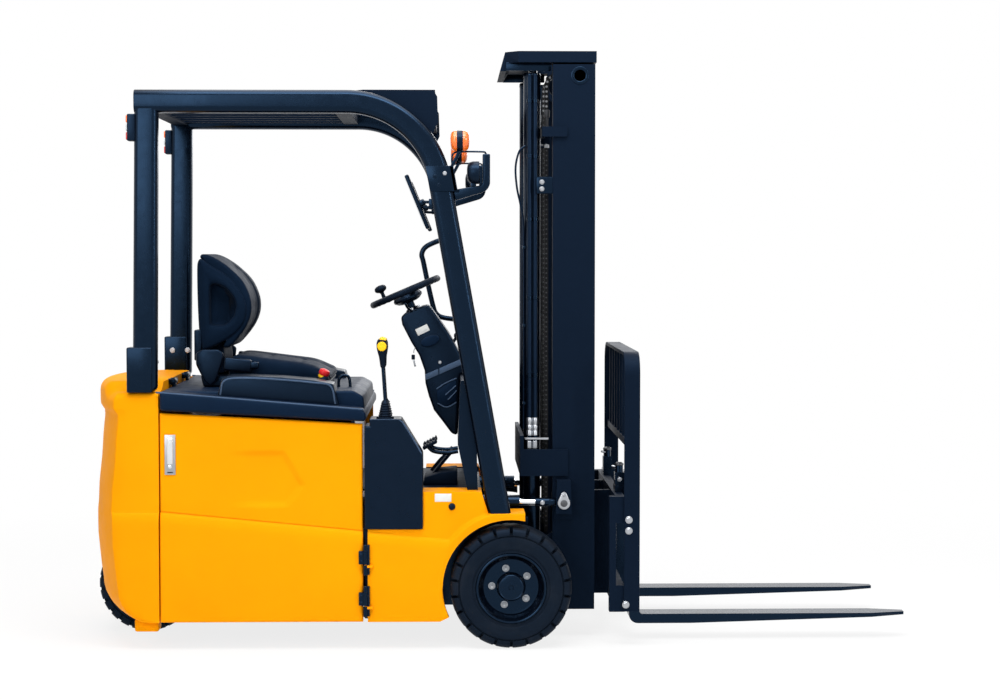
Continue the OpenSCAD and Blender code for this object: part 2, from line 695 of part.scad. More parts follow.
// the side door with its hinge knuckles, on the left
module side_door() {
    face = half_w - upper_inset;
    difference() {
        union() {
            side_plate([[door_rear_x, sill_z], [-door_setback, sill_z], [-door_setback, door_front_z],
                [door_rear_x, door_rear_z]], half_w - door_t, face);
            side_plate([[door_rear_x, sill_z], [-door_setback, sill_z], [-door_setback, crease_front_z - ledge],
                [door_rear_x, crease_rear_z - ledge]], face - 1, half_w);
            for (i = [0:3]) {
                d = ledge * (1 - sin(i * 22.5 + 11));
                side_plate([[door_rear_x, crease_rear_z - ledge - 1], [-door_setback, crease_front_z - ledge - 1],
                    [-door_setback, crease_front_z - d], [door_rear_x, crease_rear_z - d]], face - 1,
                    face + upper_inset * cos(i * 22.5 + 11));
            }
            for (z = [190, 345]) {
                block([-door_setback - 30, half_w - 10, z - 24], [hinge_x, hinge_y + 4, z + 26]);
                translate([hinge_x, hinge_y, z - 24]) cylinder(r = 8, h = 50);
            }
        }
        for (z = [190, 345]) translate([hinge_x, hinge_y, z - 30]) cylinder(d = door_pin_d + 2 * clear, h = 60);
        // the latch's pocket
        block([door_rear_x + 18, face - 16, 655], [door_rear_x + 58, half_w, 804]);
        // the area pressed in above the crease
        for (i = [0:2])
            side_plate([[-1060 + 44 * i, 742 - 8 * i], [-845 - 6 * i, 742 - 8 * i], [-770 - 10 * i, 612], [-833 - 4 * i, 536 + 8 * i],
                [-1050 + 44 * i, 536 + 8 * i]], face - 3 * (i + 1), half_w);
    }
}

module right_door() {
    at_axle() color("gold") mirror([0, 1, 0]) side_door();
}

module left_door() {
    at_axle() color("gold") side_door();
}

module steer_turret() {
    at_axle() color("dimgray") translate([rear_x, 0, 0]) {
        translate([0, 0, swing_z - 36]) cylinder(r = turret_r, h = 30);
        translate([0, 0, swing_z - 20]) cylinder(r = king_r, h = king_top_z - swing_z + 20);
        block([-70, -22, steer_z - 50], [70, 22, swing_z - 20]);
        bar_y(rear_axle_r, 0, steer_z, -rear_out + 20, rear_out - 20);
    }
}

// one rear rim on the left
module rear_rim() {
    difference() {
        translate([rear_x, wheel_gap + 4, steer_z]) rotate([-90, 0, 0]) rotate_extrude($fn = 64) polygon([[30, 6],
            [rear_rim_d / 2 - 20, 6], [rear_rim_d / 2 - 20, 0], [rear_rim_d / 2 - clear, 0],
            [rear_rim_d / 2 - clear, rear_tyre_w - 8], [rear_rim_d / 2 - 14, rear_tyre_w - 8],
            [rear_rim_d / 2 - 22, 70], [56, 58], [50, 84], [0, 84], [0, 6]]);
        bar_y(rear_axle_r + clear, rear_x, steer_z, 0, rear_out - 19);
    }
}

module rear_rims() {
    at_axle() color("black") both_sides() rear_rim();
}

// one rear tyre, its inner face at y = 0
module rear_tyre() {
    r = rear_r;
    rotate([-90, 0, 0]) difference() {
        rotate_extrude($fn = 72) polygon([[rear_rim_d / 2, 4], [r - 30, 0], [r - 6, 6], [r, 16], [r, rear_tyre_w - 16],
            [r - 6, rear_tyre_w - 6], [r - 30, rear_tyre_w], [rear_rim_d / 2, rear_tyre_w - 4]]);
        for (i = [0:rear_lugs - 1], s = [0, 1]) rotate([0, 0, (i + s / 2) * 360 / rear_lugs])
            block([r - 17, -7, s > 0 ? -1 : rear_tyre_w - 42], [r + 9, 7, s > 0 ? 42 : rear_tyre_w + 1]);
    }
}

module rear_tyres() {
    at_axle() color("black") both_sides() translate([rear_x, wheel_gap, steer_z]) rear_tyre();
}

// the left front rim
module front_rim() {
    r = front_rim_d / 2 - clear;
    difference() {
        translate([0, tyre_in, axle_z]) rotate([-90, 0, 0]) rotate_extrude($fn = 72) polygon([[50, 20], [r - 30, 20],
            [r - 16, 4], [r, 4], [r, front_tyre_w - 4], [r - 10, front_tyre_w - 4], [r - 16, front_tyre_w - 24],
            [104, front_tyre_w - 52], [54, front_tyre_w - 52], [50, front_tyre_w - 22], [0, front_tyre_w - 18], [0, 20]]);
        bar_y(spindle_d / 2 + clear, 0, axle_z, 0, tyre_out - 59);
    }
}

module right_rim() {
    at_axle() color("black") mirror([0, 1, 0]) front_rim();
}

module left_rim() {
    at_axle() color("black") front_rim();
}

// the left front tyre
module front_tyre() {
    r = front_r;
    w = front_tyre_w;
    translate([0, tyre_in, axle_z]) rotate([-90, 0, 0]) difference() {
        rotate_extrude($fn = 96) polygon([[front_rim_d / 2, 6], [r - 70, 0], [r - 26, 2], [r - 8, 10], [r, 30], [r, w - 30],
            [r - 8, w - 10], [r - 26, w - 2], [r - 70, w], [front_rim_d / 2, w - 6]]);
        for (i = [0:front_lugs - 1], s = [0, 1]) rotate([0, 0, (i + s / 2) * 360 / front_lugs])
            block([r - 28, -5, s > 0 ? -1 : w - 46], [r + 9, 5, s > 0 ? 46 : w + 1]);
    }
}

module right_tyre() {
    at_axle() color("black") mirror([0, 1, 0]) front_tyre();
}

module left_tyre() {
    at_axle() color("black") front_tyre();
}

// plan section of the left outer rail
module outer_section() {
    difference() {
        translate([rail_x, rail_lip]) square([rail_depth, mast_half - rail_lip]);
        translate([rail_x + rail_flange, rail_lip - 1]) square([rail_depth - 2 * rail_flange, mast_half - rail_web - rail_lip + 1]);
    }
}

// plan section of the left inner rail
module inner_section() {
    translate([inner_x, inner_in]) square([rail_flange, inner_out - inner_in]);
    translate([inner_x + inner_depth - rail_flange, inner_in]) square([rail_flange, inner_out - inner_in]);
    translate([inner_x + 1, inner_web]) square([inner_depth - 2, 12]);
}

module outer_mast() {
    wrap_x = 40;
    at_axle() color("black") difference() {
        union() {
            both_sides() {
                translate([0, 0, mast_bottom_z]) linear_extrude(outer_top_z - mast_bottom_z) outer_section();
                // cross-member arms and the rollers at the top
                block([wrap_x, mast_half - 1, 625], [rail_x + 58, mast_half + 12, 727]);
                block([lift_x + 36, mast_half - 1, 1920], [rail_x + 54, mast_half + 12, 1958]);
                bar_y(inner_roller_r, mast_mid_x, outer_top_z - 130, inner_web + 14, inner_out - 1);
                bar_y(24, mast_mid_x, outer_top_z - 130, inner_out - 2, mast_half - 2);
                // bearing plate on the axle, and the tilt bracket
                side_plate(concat([[rail_x + 10, 410], [rail_x + 10, 130]], arc(0, axle_z, trunnion_r + 34, 240, 90, 10)),
                    mast_half - 40, mast_half - 12);
                side_plate([[tilt_pin_x - 34, 460], [tilt_pin_x + 34, 460], [tilt_pin_x + 26, 600], [tilt_pin_x - 26, 600]],
                    mast_half - 1, tilt_y - 20);
                bar_y(tilt_pin_r, tilt_pin_x, tilt_pin_z, mast_half, tilt_y + 40);
                side_plate([[tilt_pin_x - 30, 486], [tilt_pin_x + 30, 486], [tilt_pin_x + 26, 612], [tilt_pin_x - 26, 612]],
                    tilt_y + 15, tilt_y + 30);
                block([tilt_pin_x - 26, mast_half - 1, 588], [tilt_pin_x + 26, tilt_y + 30, 612]);
                // ears at the chain's end
                for (y = [chain_y - 26, chain_y + 16]) block([lift_x + 37, y, 1900], [chain_x + 12, y + 10, 1958]);
            }
            block([wrap_x, -mast_half - 12, 625], [wrap_x + 14, mast_half + 12, 780]);
            block([lift_x + 36, -mast_half - 12, 1920], [lift_x + 48, mast_half + 12, 1958]);
            block([rail_x - 14, -mast_half, 130], [rail_x + 1, mast_half, 230]);
            both_sides() block([lift_x - 30, lift_y - 34, barrel_base_z - 20], [rail_x + 1, lift_y + 34, barrel_base_z]);
        }
        bar_y(trunnion_r + clear, 0, axle_z, -500, 500);
        both_sides() translate([lift_x, lift_y, 1900]) cylinder(d = lift_barrel_d + 2 * clear, h = 100);
        bar_y(eye_r, mast_mid_x + 22, outer_top_z - 42, -mast_half - 20, mast_half + 20);
    }
}

module lift_barrels() {
    at_axle() color("black") both_sides() translate([lift_x, lift_y, barrel_base_z]) difference() {
        cylinder(d = lift_barrel_d, h = barrel_top_z - barrel_base_z);
        translate([0, 0, 20]) cylinder(d = lift_rod_d + 2 * clear, h = 2000);
    }
}

module mast_hoses() {
    r = lift_barrel_d / 2 + 10 + clear;
    at_axle() color("black") for (a = [-75, -105])
        translate([lift_x + r * cos(a), -lift_y + r * sin(a), 640]) cylinder(r = 10, h = 1460);
}

module inner_mast() {
    at_axle() color("black") {
        both_sides() {
            translate([0, 0, inner_bottom_z]) linear_extrude(crosshead_z - inner_bottom_z + 1) inner_section();
            bar_y(outer_roller_r, mast_mid_x, inner_bottom_z + 80, rail_lip + 2, mast_half - rail_web - 3);
            bar_y(24, mast_mid_x, inner_bottom_z + 80, inner_web + 6, rail_lip + 4);
            bar_y(sheave_r - chain_h / 2 - clear, sheave_x, sheave_z, chain_y - 16, chain_y + 16);
            bar_y(16, sheave_x, sheave_z, chain_y, inner_web + 4);
        }
        translate([0, 0, crosshead_z]) linear_extrude(mast_top_z - crosshead_z) difference() {
            polygon([[head_x, 250], [head_x + 50, mast_half], [rail_front + 5, mast_half], [rail_front + 5, inner_in],
                [lift_x + 40, inner_in], [lift_x + 20, 0], [lift_x + 40, -inner_in], [rail_front + 5, -inner_in],
                [rail_front + 5, -mast_half], [head_x + 50, -mast_half], [head_x, -250]]);
        }
        // its rear skirt leans back
        side_plate([[head_x, mast_top_z], [head_x + 24, mast_top_z - 20], [head_x + 24, crosshead_z], [head_x + 4, crosshead_z - 30],
            [head_x - 20, crosshead_z - 30]], -250, 250);
        block([inner_x, -inner_in - 1, inner_bottom_z + 20], [inner_x + 14, inner_in + 1, inner_bottom_z + 100]);
    }
}

module lift_rods() {
    at_axle() color("silver") both_sides() translate([lift_x, lift_y, barrel_base_z + 40])
        cylinder(d = lift_rod_d, h = crosshead_z - barrel_base_z - 40);
}

module lift_chains() {
    at_axle() color("dimgray") both_sides() {
        block([chain_x - chain_h / 2, chain_y - chain_w / 2, rear_strand_z], [chain_x + chain_h / 2, chain_y + chain_w / 2, sheave_z]);
        block([chain_x + 2 * sheave_r - chain_h / 2, chain_y - chain_w / 2, front_strand_z],
            [chain_x + 2 * sheave_r + chain_h / 2, chain_y + chain_w / 2, sheave_z]);
        translate([sheave_x, chain_y, sheave_z]) rotate([90, 0, 0]) rotate_extrude(angle = 180, $fn = 64)
            translate([sheave_r - chain_h / 2, -chain_w / 2]) square([chain_h, chain_w]);
    }
}

module carriage() {
    at_axle() color("black") {
        block([bar_x, -carriage_half, carriage_top_z - 100], [bar_x + bar_t, carriage_half, carriage_top_z]);
        block([bar_x, -carriage_half, carriage_bottom_z], [bar_x + bar_t, carriage_half, carriage_bottom_z + 100]);
        both_sides() {
            block([mast_mid_x - 40, inner_in - 28, carriage_bottom_z + 20], [bar_x + 1, inner_in - 8, carriage_top_z - 10]);
            for (z = [carriage_bottom_z + 90, carriage_top_z - 90]) {
                bar_y(inner_roller_r, mast_mid_x, z, inner_in + 2, inner_web - 2);
                bar_y(24, mast_mid_x, z, inner_in - 10, inner_in + 4);
            }
            block([bar_x - 24, carriage_half - 40, carriage_bottom_z], [bar_x + 1, carriage_half, carriage_top_z]);
            // ear at the chain's end
            block([sheave_x + sheave_r - 16, chain_y + 16, 262], [sheave_x + sheave_r + 16, inner_in - 27, 330]);
        }
    }
}

// outline of the load backrest's frame from the front
module rack_outline(y, z, r) {
    translate([-y, 133]) square([2 * y, z - 133 - r]);
    translate([-y + r, z - r - 1]) square([2 * y - 2 * r, r + 1]);
    for (s = [-1, 1]) translate([s * (y - r), z - r]) circle(r);
}

module load_backrest() {
    y0 = carriage_half;
    at_axle() color("black") {
        translate([rack_x, 0, 0]) rotate([90, 0, 90]) linear_extrude(rack_depth) difference() {
            rack_outline(y0 + 12, guard_rack_z, rack_corner_r);
            translate([0, -60]) rack_outline(y0, guard_rack_z + 60 - 14, rack_corner_r - 12);
            translate([-y0, 100]) square([2 * y0, 100]);
        }
        block([rack_x + 12, -y0 - 1, rack_bar_z - 14], [rack_x + rack_depth, y0 + 1, rack_bar_z + 14]);
        for (i = [1:rack_bars]) {
            y = -y0 + 2 * y0 * i / (rack_bars + 1);
            block([rack_x + 12, y - 6, rack_bar_z], [rack_x + rack_depth, y + 6, guard_rack_z - 8]);
        }
    }
}

// the left fork
module fork() {
    tip = fork_face + fork_length;
    translate([0, fork_y, 0]) difference() {
        union() {
            side_plate(concat(arc(fork_face - shank_t + heel_r, fork_z + heel_r, heel_r, 180, 270, 6),
                [[fork_face + 200, fork_z], [tip, fork_z + fork_t - 12], [tip, fork_z + fork_t]],
                arc(fork_face + 12, fork_z + fork_t + 12, 12, 270, 180, 4),
                [[fork_face, carriage_top_z + 14], [fork_face - shank_t, carriage_top_z + 14]]), -fork_w / 2, fork_w / 2);
            block([bar_x + bar_t + 0.4, -fork_w / 2 + 6, carriage_top_z - 80],
                [fork_face - shank_t + 1, fork_w / 2 - 6, carriage_top_z + 14]);
            block([bar_x + 8, -fork_w / 2 + 6, carriage_top_z + 0.4],
                [fork_face - shank_t + 1, fork_w / 2 - 6, carriage_top_z + 24]);
            block([bar_x + bar_t + 0.4, -fork_w / 2 + 6, carriage_bottom_z - 24],
                [fork_face - shank_t + 1, fork_w / 2 - 6, carriage_bottom_z + 60]);
            block([bar_x + 8, -fork_w / 2 + 6, carriage_bottom_z - 24],
                [fork_face - shank_t + 1, fork_w / 2 - 6, carriage_bottom_z - 0.4]);
            // the latch on the upper hook
            block([bar_x + 9, -22, carriage_top_z + 20], [bar_x + 46, 22, carriage_top_z + 74]);
            translate([bar_x + 27, 0, carriage_top_z + 73]) cylinder(r = 15, h = 30);
        }
        for (s = [-1, 1]) translate([tip - 130, s * fork_w / 2, 0]) rotate([0, 0, -s * 14]) translate([0, s > 0 ? 0 : -100, -1])
            cube([300, 100, 300]);
    }
}

module right_fork() {
    at_axle() color("black") mirror([0, 1, 0]) fork();
}

module left_fork() {
    at_axle() color("black") fork();
}

// the left tilt cylinder's barrel
module tilt_barrel() {
    gland = tilt_l - 168;
    translate([-tilt_anchor_x, tilt_y, tilt_pin_z]) difference() {
        union() {
            bar_y(26, 0, 0, -17, 17);
            rotate([0, 90, 0]) translate([0, 0, 16]) cylinder(r = 15, h = 40);
            rotate([0, 90, 0]) translate([0, 0, 42]) cylinder(r = tilt_barrel_r, h = gland - 42);
        }
        bar_y(tilt_pin_r + clear, 0, 0, -20, 20);
        rotate([0, 90, 0]) translate([0, 0, 60]) cylinder(r = tilt_rod_r + clear, h = 800);
    }
}

// its rod and eye
module tilt_rod() {
    translate([-tilt_anchor_x, tilt_y, tilt_pin_z]) difference() {
        union() {
            rotate([0, 90, 0]) translate([0, 0, 120]) cylinder(r = tilt_rod_r, h = tilt_l - 140);
            bar_y(27, tilt_l, 0, -10, 10);
        }
        bar_y(tilt_pin_r + 1, tilt_l, 0, -30, 30);
    }
}

module right_tilt_barrel() {
    at_axle() color("black") mirror([0, 1, 0]) tilt_barrel();
}

module right_tilt_rod() {
    at_axle() color("silver") mirror([0, 1, 0]) tilt_rod();
}

module left_tilt_barrel() {
    at_axle() color("black") tilt_barrel();
}

module left_tilt_rod() {
    at_axle() color("silver") tilt_rod();
}

chassis_frame();
front_panel_right();
front_panel_left();
counterweight();
battery_block();
front_axle();
floor_plate();
front_cowl();
steering_column();
lever_console();
control_levers();
guard_frame_right();
guard_frame_left();
guard_roof();
headlamps();
signal_lamps();
rear_lamps();
mirrors();
grab_handle();
tow_pin();
hood_lid();
seat_base();
seat_cushion();
seat_backrest();
stop_button();
right_door();
left_door();
steering_wheel();
steer_turret();
rear_rims();
rear_tyres();
right_rim();
right_tyre();
left_rim();
left_tyre();
outer_mast();
lift_barrels();
mast_hoses();
inner_mast();
lift_rods();
lift_chains();
carriage();
load_backrest();
right_fork();
left_fork();
right_tilt_barrel();
right_tilt_rod();
left_tilt_barrel();
left_tilt_rod();
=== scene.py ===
from math import atan2, copysign, cos, exp, hypot, pi, radians, sin, sqrt, tan

import bmesh
import bpy
from mathutils import Matrix, Vector


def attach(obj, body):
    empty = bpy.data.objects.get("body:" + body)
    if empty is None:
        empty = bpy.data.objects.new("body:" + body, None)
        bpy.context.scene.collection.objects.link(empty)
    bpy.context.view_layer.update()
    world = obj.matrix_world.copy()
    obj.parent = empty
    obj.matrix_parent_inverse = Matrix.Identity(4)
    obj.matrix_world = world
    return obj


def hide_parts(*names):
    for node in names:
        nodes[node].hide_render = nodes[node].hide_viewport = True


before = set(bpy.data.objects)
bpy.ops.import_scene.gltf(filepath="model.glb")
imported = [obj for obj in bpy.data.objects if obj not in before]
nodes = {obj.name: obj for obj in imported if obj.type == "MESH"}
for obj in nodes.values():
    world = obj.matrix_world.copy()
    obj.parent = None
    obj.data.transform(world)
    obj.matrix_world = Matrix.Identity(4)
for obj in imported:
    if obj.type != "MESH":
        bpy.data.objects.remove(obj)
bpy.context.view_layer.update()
scene = bpy.context.scene

# Millimetres: x ahead of the front axle, y to the left of the middle, z above the ground.
FRONT_X = 44  # the front axle in the shared frame
HALF_W = 520  # middle to the widest part of the body
FACE = 504  # middle to the side panels above the crease
INSIDE = 486  # middle to the back of those panels
SILL_Z = 103
LEDGE = 16  # how far the panels stand out below the crease
WHEEL_R = 228
TYRE_IN = 360
TYRE_W = 173
REAR_X = -1410  # the rear axle
REAR_R = 190
GUARD_Y = 485
GUARD_HALF = 30  # half the width of the guard's tubes
PILLAR_FOOT_Z = 507
TAIL_X = -1608
WEIGHT_FRONT = -1310
WEIGHT_Z = 996
DOOR_REAR = -1306
DOOR_FRONT = -553
COLUMN_Y = 75  # middle to the side of the steering column
STEERING_LEAN = radians(23)
RAIL_OUT = 300  # middle to the outer face of the mast
ROD_Z = 527  # the tilt cylinders
CHAIN_Y = 120
HINGE_X, HINGE_Y = -543, 529  # the door's pins
HINGE_LEVELS = (190, 345)
SIDES = ((-1, "right"), (1, "left"))
UP = (0, 0, 1)


def at(x, y, z):
    """A point in the row frame, in metres."""
    return Vector(((x + FRONT_X) / 1000, y / 1000, z / 1000))


def smooth(t):
    """0 to 1 with soft ends."""
    t = min(max(t, 0.0), 1.0)
    return t * t * (3 - 2 * t)


# Materials


def fill(tree, node, inputs):
    """Sets inputs by name or number: a socket is linked, anything else is a value."""
    for key, value in inputs.items():
        if isinstance(value, bpy.types.NodeSocket):
            tree.links.new(value, node.inputs[key])
        else:
            node.inputs[key].default_value = value


def put(tree, kind, inputs={}, **settings):
    """A new shader node; returns its outputs."""
    node = tree.nodes.new("ShaderNode" + kind)
    for key, value in settings.items():
        setattr(node, key, value)
    fill(tree, node, inputs)
    return node.outputs


def ramp(tree, fac, low, high, a, b, **settings):
    """Maps low to high onto a to b."""
    inputs = {"Value": fac, "From Min": low, "From Max": high, "To Min": a, "To Max": b}
    return put(tree, "MapRange", inputs, **settings)["Result"]


class Shader:
    """A node material built from a few procedural layers over one Principled shader."""

    def __init__(self, name, colour, rough, metal=0.0, level=0.5, coat=0.0, tint=(1, 1, 1)):
        self.mat = bpy.data.materials.new(name)
        self.mat.use_nodes = True
        self.mat.diffuse_color = (*colour, 1)
        self.tree = self.mat.node_tree
        self.colour, self.rough = colour, rough
        self.tone = self.bump = None
        self.space = put(self.tree, "TexCoord")["Object"]
        self.set({"Metallic": metal, "Specular IOR Level": level, "Specular Tint": (*tint, 1),
                  "Coat Weight": coat, "Coat Roughness": 0.12})

    def set(self, inputs):
        fill(self.tree, self.tree.nodes["Principled BSDF"], inputs)

    def noise(self, scale, detail=3.0, stretch=None):
        space = self.space
        if stretch:
            space = put(self.tree, "Mapping", {"Vector": space, "Scale": stretch})["Vector"]
        return put(self.tree, "TexNoise", {"Vector": space, "Scale": scale, "Detail": detail})["Fac"]

    def patches(self, scale, detail, low, high, a, b):
        return ramp(self.tree, self.noise(scale, detail), low, high, a, b)

    def cells(self, scale, feature="F1"):
        return put(self.tree, "TexVoronoi", {"Vector": self.space, "Scale": scale}, feature=feature)["Distance"]

    def mix(self, fac, a, b):
        a, b = ((*c, 1) if isinstance(c, tuple) else c for c in (a, b))
        return put(self.tree, "Mix", {0: fac, 6: a, 7: b}, data_type="RGBA")[2]

    def shades(self, spread, scale):
        """Uneven colour: a little darker and lighter in soft clouds."""
        dark = tuple(c * (1 - spread) for c in self.colour)
        light = tuple(min(c * (1 + spread), 1) for c in self.colour)
        self.tone = self.mix(self.patches(scale, 3.0, 0.3, 0.7, 0, 1), dark, light)
        return self

    def dust(self, colour, amount):
        """Dust or dried dirt in patches."""
        self.tone = self.mix(self.patches(9.0, 6.0, 0.5, 0.8, 0, amount), self.tone, colour)

    def edges(self, colour, amount):
        """Rubbed edges, broken up by noise."""
        soft = put(self.tree, "Bevel", {"Radius": 0.004}, samples=4)["Normal"]
        hard = put(self.tree, "NewGeometry")["Normal"]
        dot = put(self.tree, "VectorMath", {0: soft, 1: hard}, operation="DOT_PRODUCT")["Value"]
        share = {0: ramp(self.tree, dot, 0.98, 0.75, 0, 1), 1: self.patches(60.0, 5.0, 0.45, 0.7, 0, amount)}
        self.tone = self.mix(put(self.tree, "Math", share, operation="MULTIPLY")[0], self.tone, colour)

    def grain(self, fac, strength, depth):
        """Fine relief, over what is there already."""
        inputs = {"Strength": strength, "Distance": depth, "Height": fac}
        if self.bump:
            inputs["Normal"] = self.bump
        self.bump = put(self.tree, "Bump", inputs)["Normal"]
        return self

    def done(self, spread):
        low, high = max(self.rough - spread, 0.02), self.rough + spread
        self.set({"Roughness": self.patches(30.0, 4.0, 0.3, 0.7, low, high), "Base Color": self.tone,
                  "Normal": self.bump})
        return self.mat


def paint(name, colour, rough, level, rub, tint=(1, 1, 1)):
    """Enamel, rubbed along its edges to the colour rub."""
    s = Shader(name, colour, rough, level=level, tint=tint).shades(0.05, 2.5)
    s.edges(rub, 0.55)
    return s.grain(s.noise(420.0, 2.0), 0.12, 0.0004).done(0.05)


def moulded(name, colour, rough, level=0.25, tint=(1, 1, 1)):
    """Grained plastic."""
    s = Shader(name, colour, rough, level=level, tint=tint).shades(0.12, 6.0)
    s.grain(s.cells(900.0), 0.25, 0.0003)
    return s.grain(s.noise(260.0, 4.0), 0.2, 0.0004).done(0.07)


def metal(name, colour, rough, streak):
    """Bare metal with fine marks, stretched by streak."""
    s = Shader(name, colour, rough, metal=1.0).shades(0.08, 14.0)
    return s.grain(s.noise(90.0, 3.0, streak), 0.06, 0.0001).done(0.05)


BLUE_SHEEN = (0.24, 0.52, 1.0)
WORN_BLACK = (0.012, 0.02, 0.036)
YELLOW = paint("yellow_paint", (0.93, 0.338, 0.002), 0.45, 0.015, (0.55, 0.30, 0.05), (1.0, 0.85, 0.6))
BLACK = paint("black_paint", (0.0006, 0.0014, 0.0036), 0.24, 0.38, WORN_BLACK, BLUE_SHEEN)
MATT = paint("matt_black_paint", (0.0026, 0.0054, 0.0125), 0.6, 0.14, WORN_BLACK, BLUE_SHEEN)
# a darker yellow for faces cut into the counterweight: painted shade inside the wheel arch and the pin hole
SHADED_YELLOW = paint("painted_shade_yellow", (0.62, 0.22, 0.004), 0.45, 0.3, (0.3, 0.2, 0.05))
PLASTIC = moulded("black_plastic", (0.0018, 0.0032, 0.0070), 0.34, 0.28, BLUE_SHEEN)
SATIN = moulded("hood_plastic", (0.0018, 0.006, 0.0175), 0.5, 0.22, BLUE_SHEEN)
GRIP = moulded("soft_grip", (0.003, 0.0045, 0.0085), 0.5, 0.18, BLUE_SHEEN)
# a light bluish grey for thin lines along edges and ridges: painted highlights
PAINTED_HIGHLIGHT = moulded("painted_highlight_trim", (0.055, 0.085, 0.14), 0.36, 0.3, BLUE_SHEEN)
ZINC = metal("zinc_steel", (0.42, 0.44, 0.47), 0.35, (1, 1, 1))
CHROME = metal("chrome", (0.78, 0.8, 0.82), 0.1, (1, 1, 12))
STEEL = metal("dark_steel", (0.10, 0.105, 0.115), 0.42, (3, 3, 1))
CHAIN = metal("chain_steel", (0.03, 0.031, 0.033), 0.42, (1, 1, 1))


def rubber_material():
    s = Shader("tyre_rubber", (0.0045, 0.0062, 0.0098), 0.55, level=0.18, tint=BLUE_SHEEN).shades(0.15, 18.0)
    s.dust((0.026, 0.027, 0.029), 0.22)
    s.grain(s.noise(160.0, 5.0), 0.3, 0.0006)
    return s.grain(s.cells(700.0), 0.15, 0.0003).done(0.08)


def vinyl_material():
    s = Shader("seat_vinyl", (0.0035, 0.009, 0.021), 0.6, level=0.05, tint=BLUE_SHEEN).shades(0.12, 9.0)
    s.set({"Sheen Weight": 0.01, "Sheen Roughness": 0.4})
    s.grain(s.cells(520.0, "SMOOTH_F1"), 0.45, 0.0006)
    return s.grain(s.noise(40.0, 3.0), 0.25, 0.0015).done(0.08)


def lens_material(name, colour, glow):
    """Ribbed lamp plastic; its emission, set by glow, paints a faint glow into the lens."""
    s = Shader(name, colour, 0.12, level=0.6, coat=0.4).shades(0.08, 20.0)
    s.set({"Transmission Weight": 0.15, "Emission Color": (*colour, 1), "Emission Strength": glow})
    wave = put(s.tree, "TexWave", {"Vector": s.space, "Scale": 60.0}, wave_type="BANDS", bands_direction="Z")
    return s.grain(wave["Fac"], 0.4, 0.001).done(0.03)


RUBBER = rubber_material()
VINYL = vinyl_material()
AMBER = lens_material("amber_lens", (0.95, 0.17, 0.012), 0.12)
RED_LENS = lens_material("red_lens", (0.55, 0.015, 0.012), 0.06)
CLEAR = lens_material("clear_lens", (0.62, 0.66, 0.7), 0.0)
RED = moulded("red_plastic", (0.62, 0.016, 0.02), 0.35)
KNOB_YELLOW = moulded("yellow_plastic", (0.9, 0.52, 0.01), 0.35)
HOSE = moulded("hose_rubber", (0.002, 0.004, 0.0095), 0.34, 0.3, BLUE_SHEEN)
MIRROR = metal("mirror_glass", (0.82, 0.84, 0.86), 0.05, (1, 1, 1))
BATTERY = paint("battery_paint", (0.05, 0.055, 0.06), 0.5, 0.4, (0.12, 0.12, 0.12))
PLATE = moulded("blank_plate", (0.7, 0.71, 0.7), 0.4)


# Shapes: each returns points and faces, and a Kit joins them into one piece.


def from_bmesh(bm):
    bm.verts.index_update()
    points = [v.co.copy() for v in bm.verts]
    faces = [tuple(v.index for v in f.verts) for f in bm.faces]
    bm.free()
    return points, faces


def rounded(bm, r, segments):
    """Rounds every edge that turns by more than about 25 degrees."""
    bmesh.ops.recalc_face_normals(bm, faces=bm.faces)
    if r > 0:
        edges = [e for e in bm.edges if e.is_manifold and e.calc_face_angle(0) > 0.43]
        bmesh.ops.bevel(bm, geom=edges, offset=r, offset_type="OFFSET", segments=segments, profile=0.5,
                        affect="EDGES", clamp_overlap=True)
    return from_bmesh(bm)


def block(a, b, r=3.0, segments=2, turn=None):
    """A box between two corners with rounded edges; turn is (angle, axis) about its middle."""
    lo, hi = at(*a), at(*b)
    bm = bmesh.new()
    bmesh.ops.create_cube(bm, size=1.0)
    mid = (lo + hi) / 2
    for v in bm.verts:
        v.co = Vector(v.co[i] * (hi[i] - lo[i]) for i in range(3))
    points, faces = rounded(bm, r / 1000, segments)
    spin = Matrix.Rotation(radians(turn[0]), 3, turn[1]) if turn else Matrix.Identity(3)
    return [mid + spin @ p for p in points], faces


def prism(outline, y0, y1, r=3.0, segments=2):
    """A side outline of (x, z) points, thick from y0 to y1, with rounded edges."""
    bm = bmesh.new()
    a = [bm.verts.new(at(x, y0, z)) for x, z in outline]
    b = [bm.verts.new(at(x, y1, z)) for x, z in outline]
    n = len(outline)
    bm.faces.new(a)
    bm.faces.new(b[::-1])
    for i in range(n):
        bm.faces.new((a[i], b[i], b[(i + 1) % n], a[(i + 1) % n]))
    return rounded(bm, r / 1000, segments)


def sheet(rows, close_u=False, close_v=False):
    """Quads over rows of points."""
    n = len(rows[0])
    points = [p for row in rows for p in row]
    faces = []
    for j in range(len(rows) - (0 if close_v else 1)):
        k = (j + 1) % len(rows)
        for i in range(n - (0 if close_u else 1)):
            m = (i + 1) % n
            faces.append((j * n + i, j * n + m, k * n + m, k * n + i))
    return points, faces


def border(nu, nv):
    """The points round the edge of a sheet, in order."""
    n = nu + 1
    rim = list(range(n)) + [j * n + nu for j in range(1, nv)] + list(range((nv + 1) * n - 1, nv * n - 1, -1))
    return rim + [j * n for j in range(nv - 1, 0, -1)]


def capped(rows):
    """A closed skin over rings of points, with both ends filled."""
    points, faces = sheet(rows, close_u=True)
    n = len(rows[0])
    faces.append(tuple(range(n))[::-1])
    faces.append(tuple(range(len(points) - n, len(points))))
    return points, faces


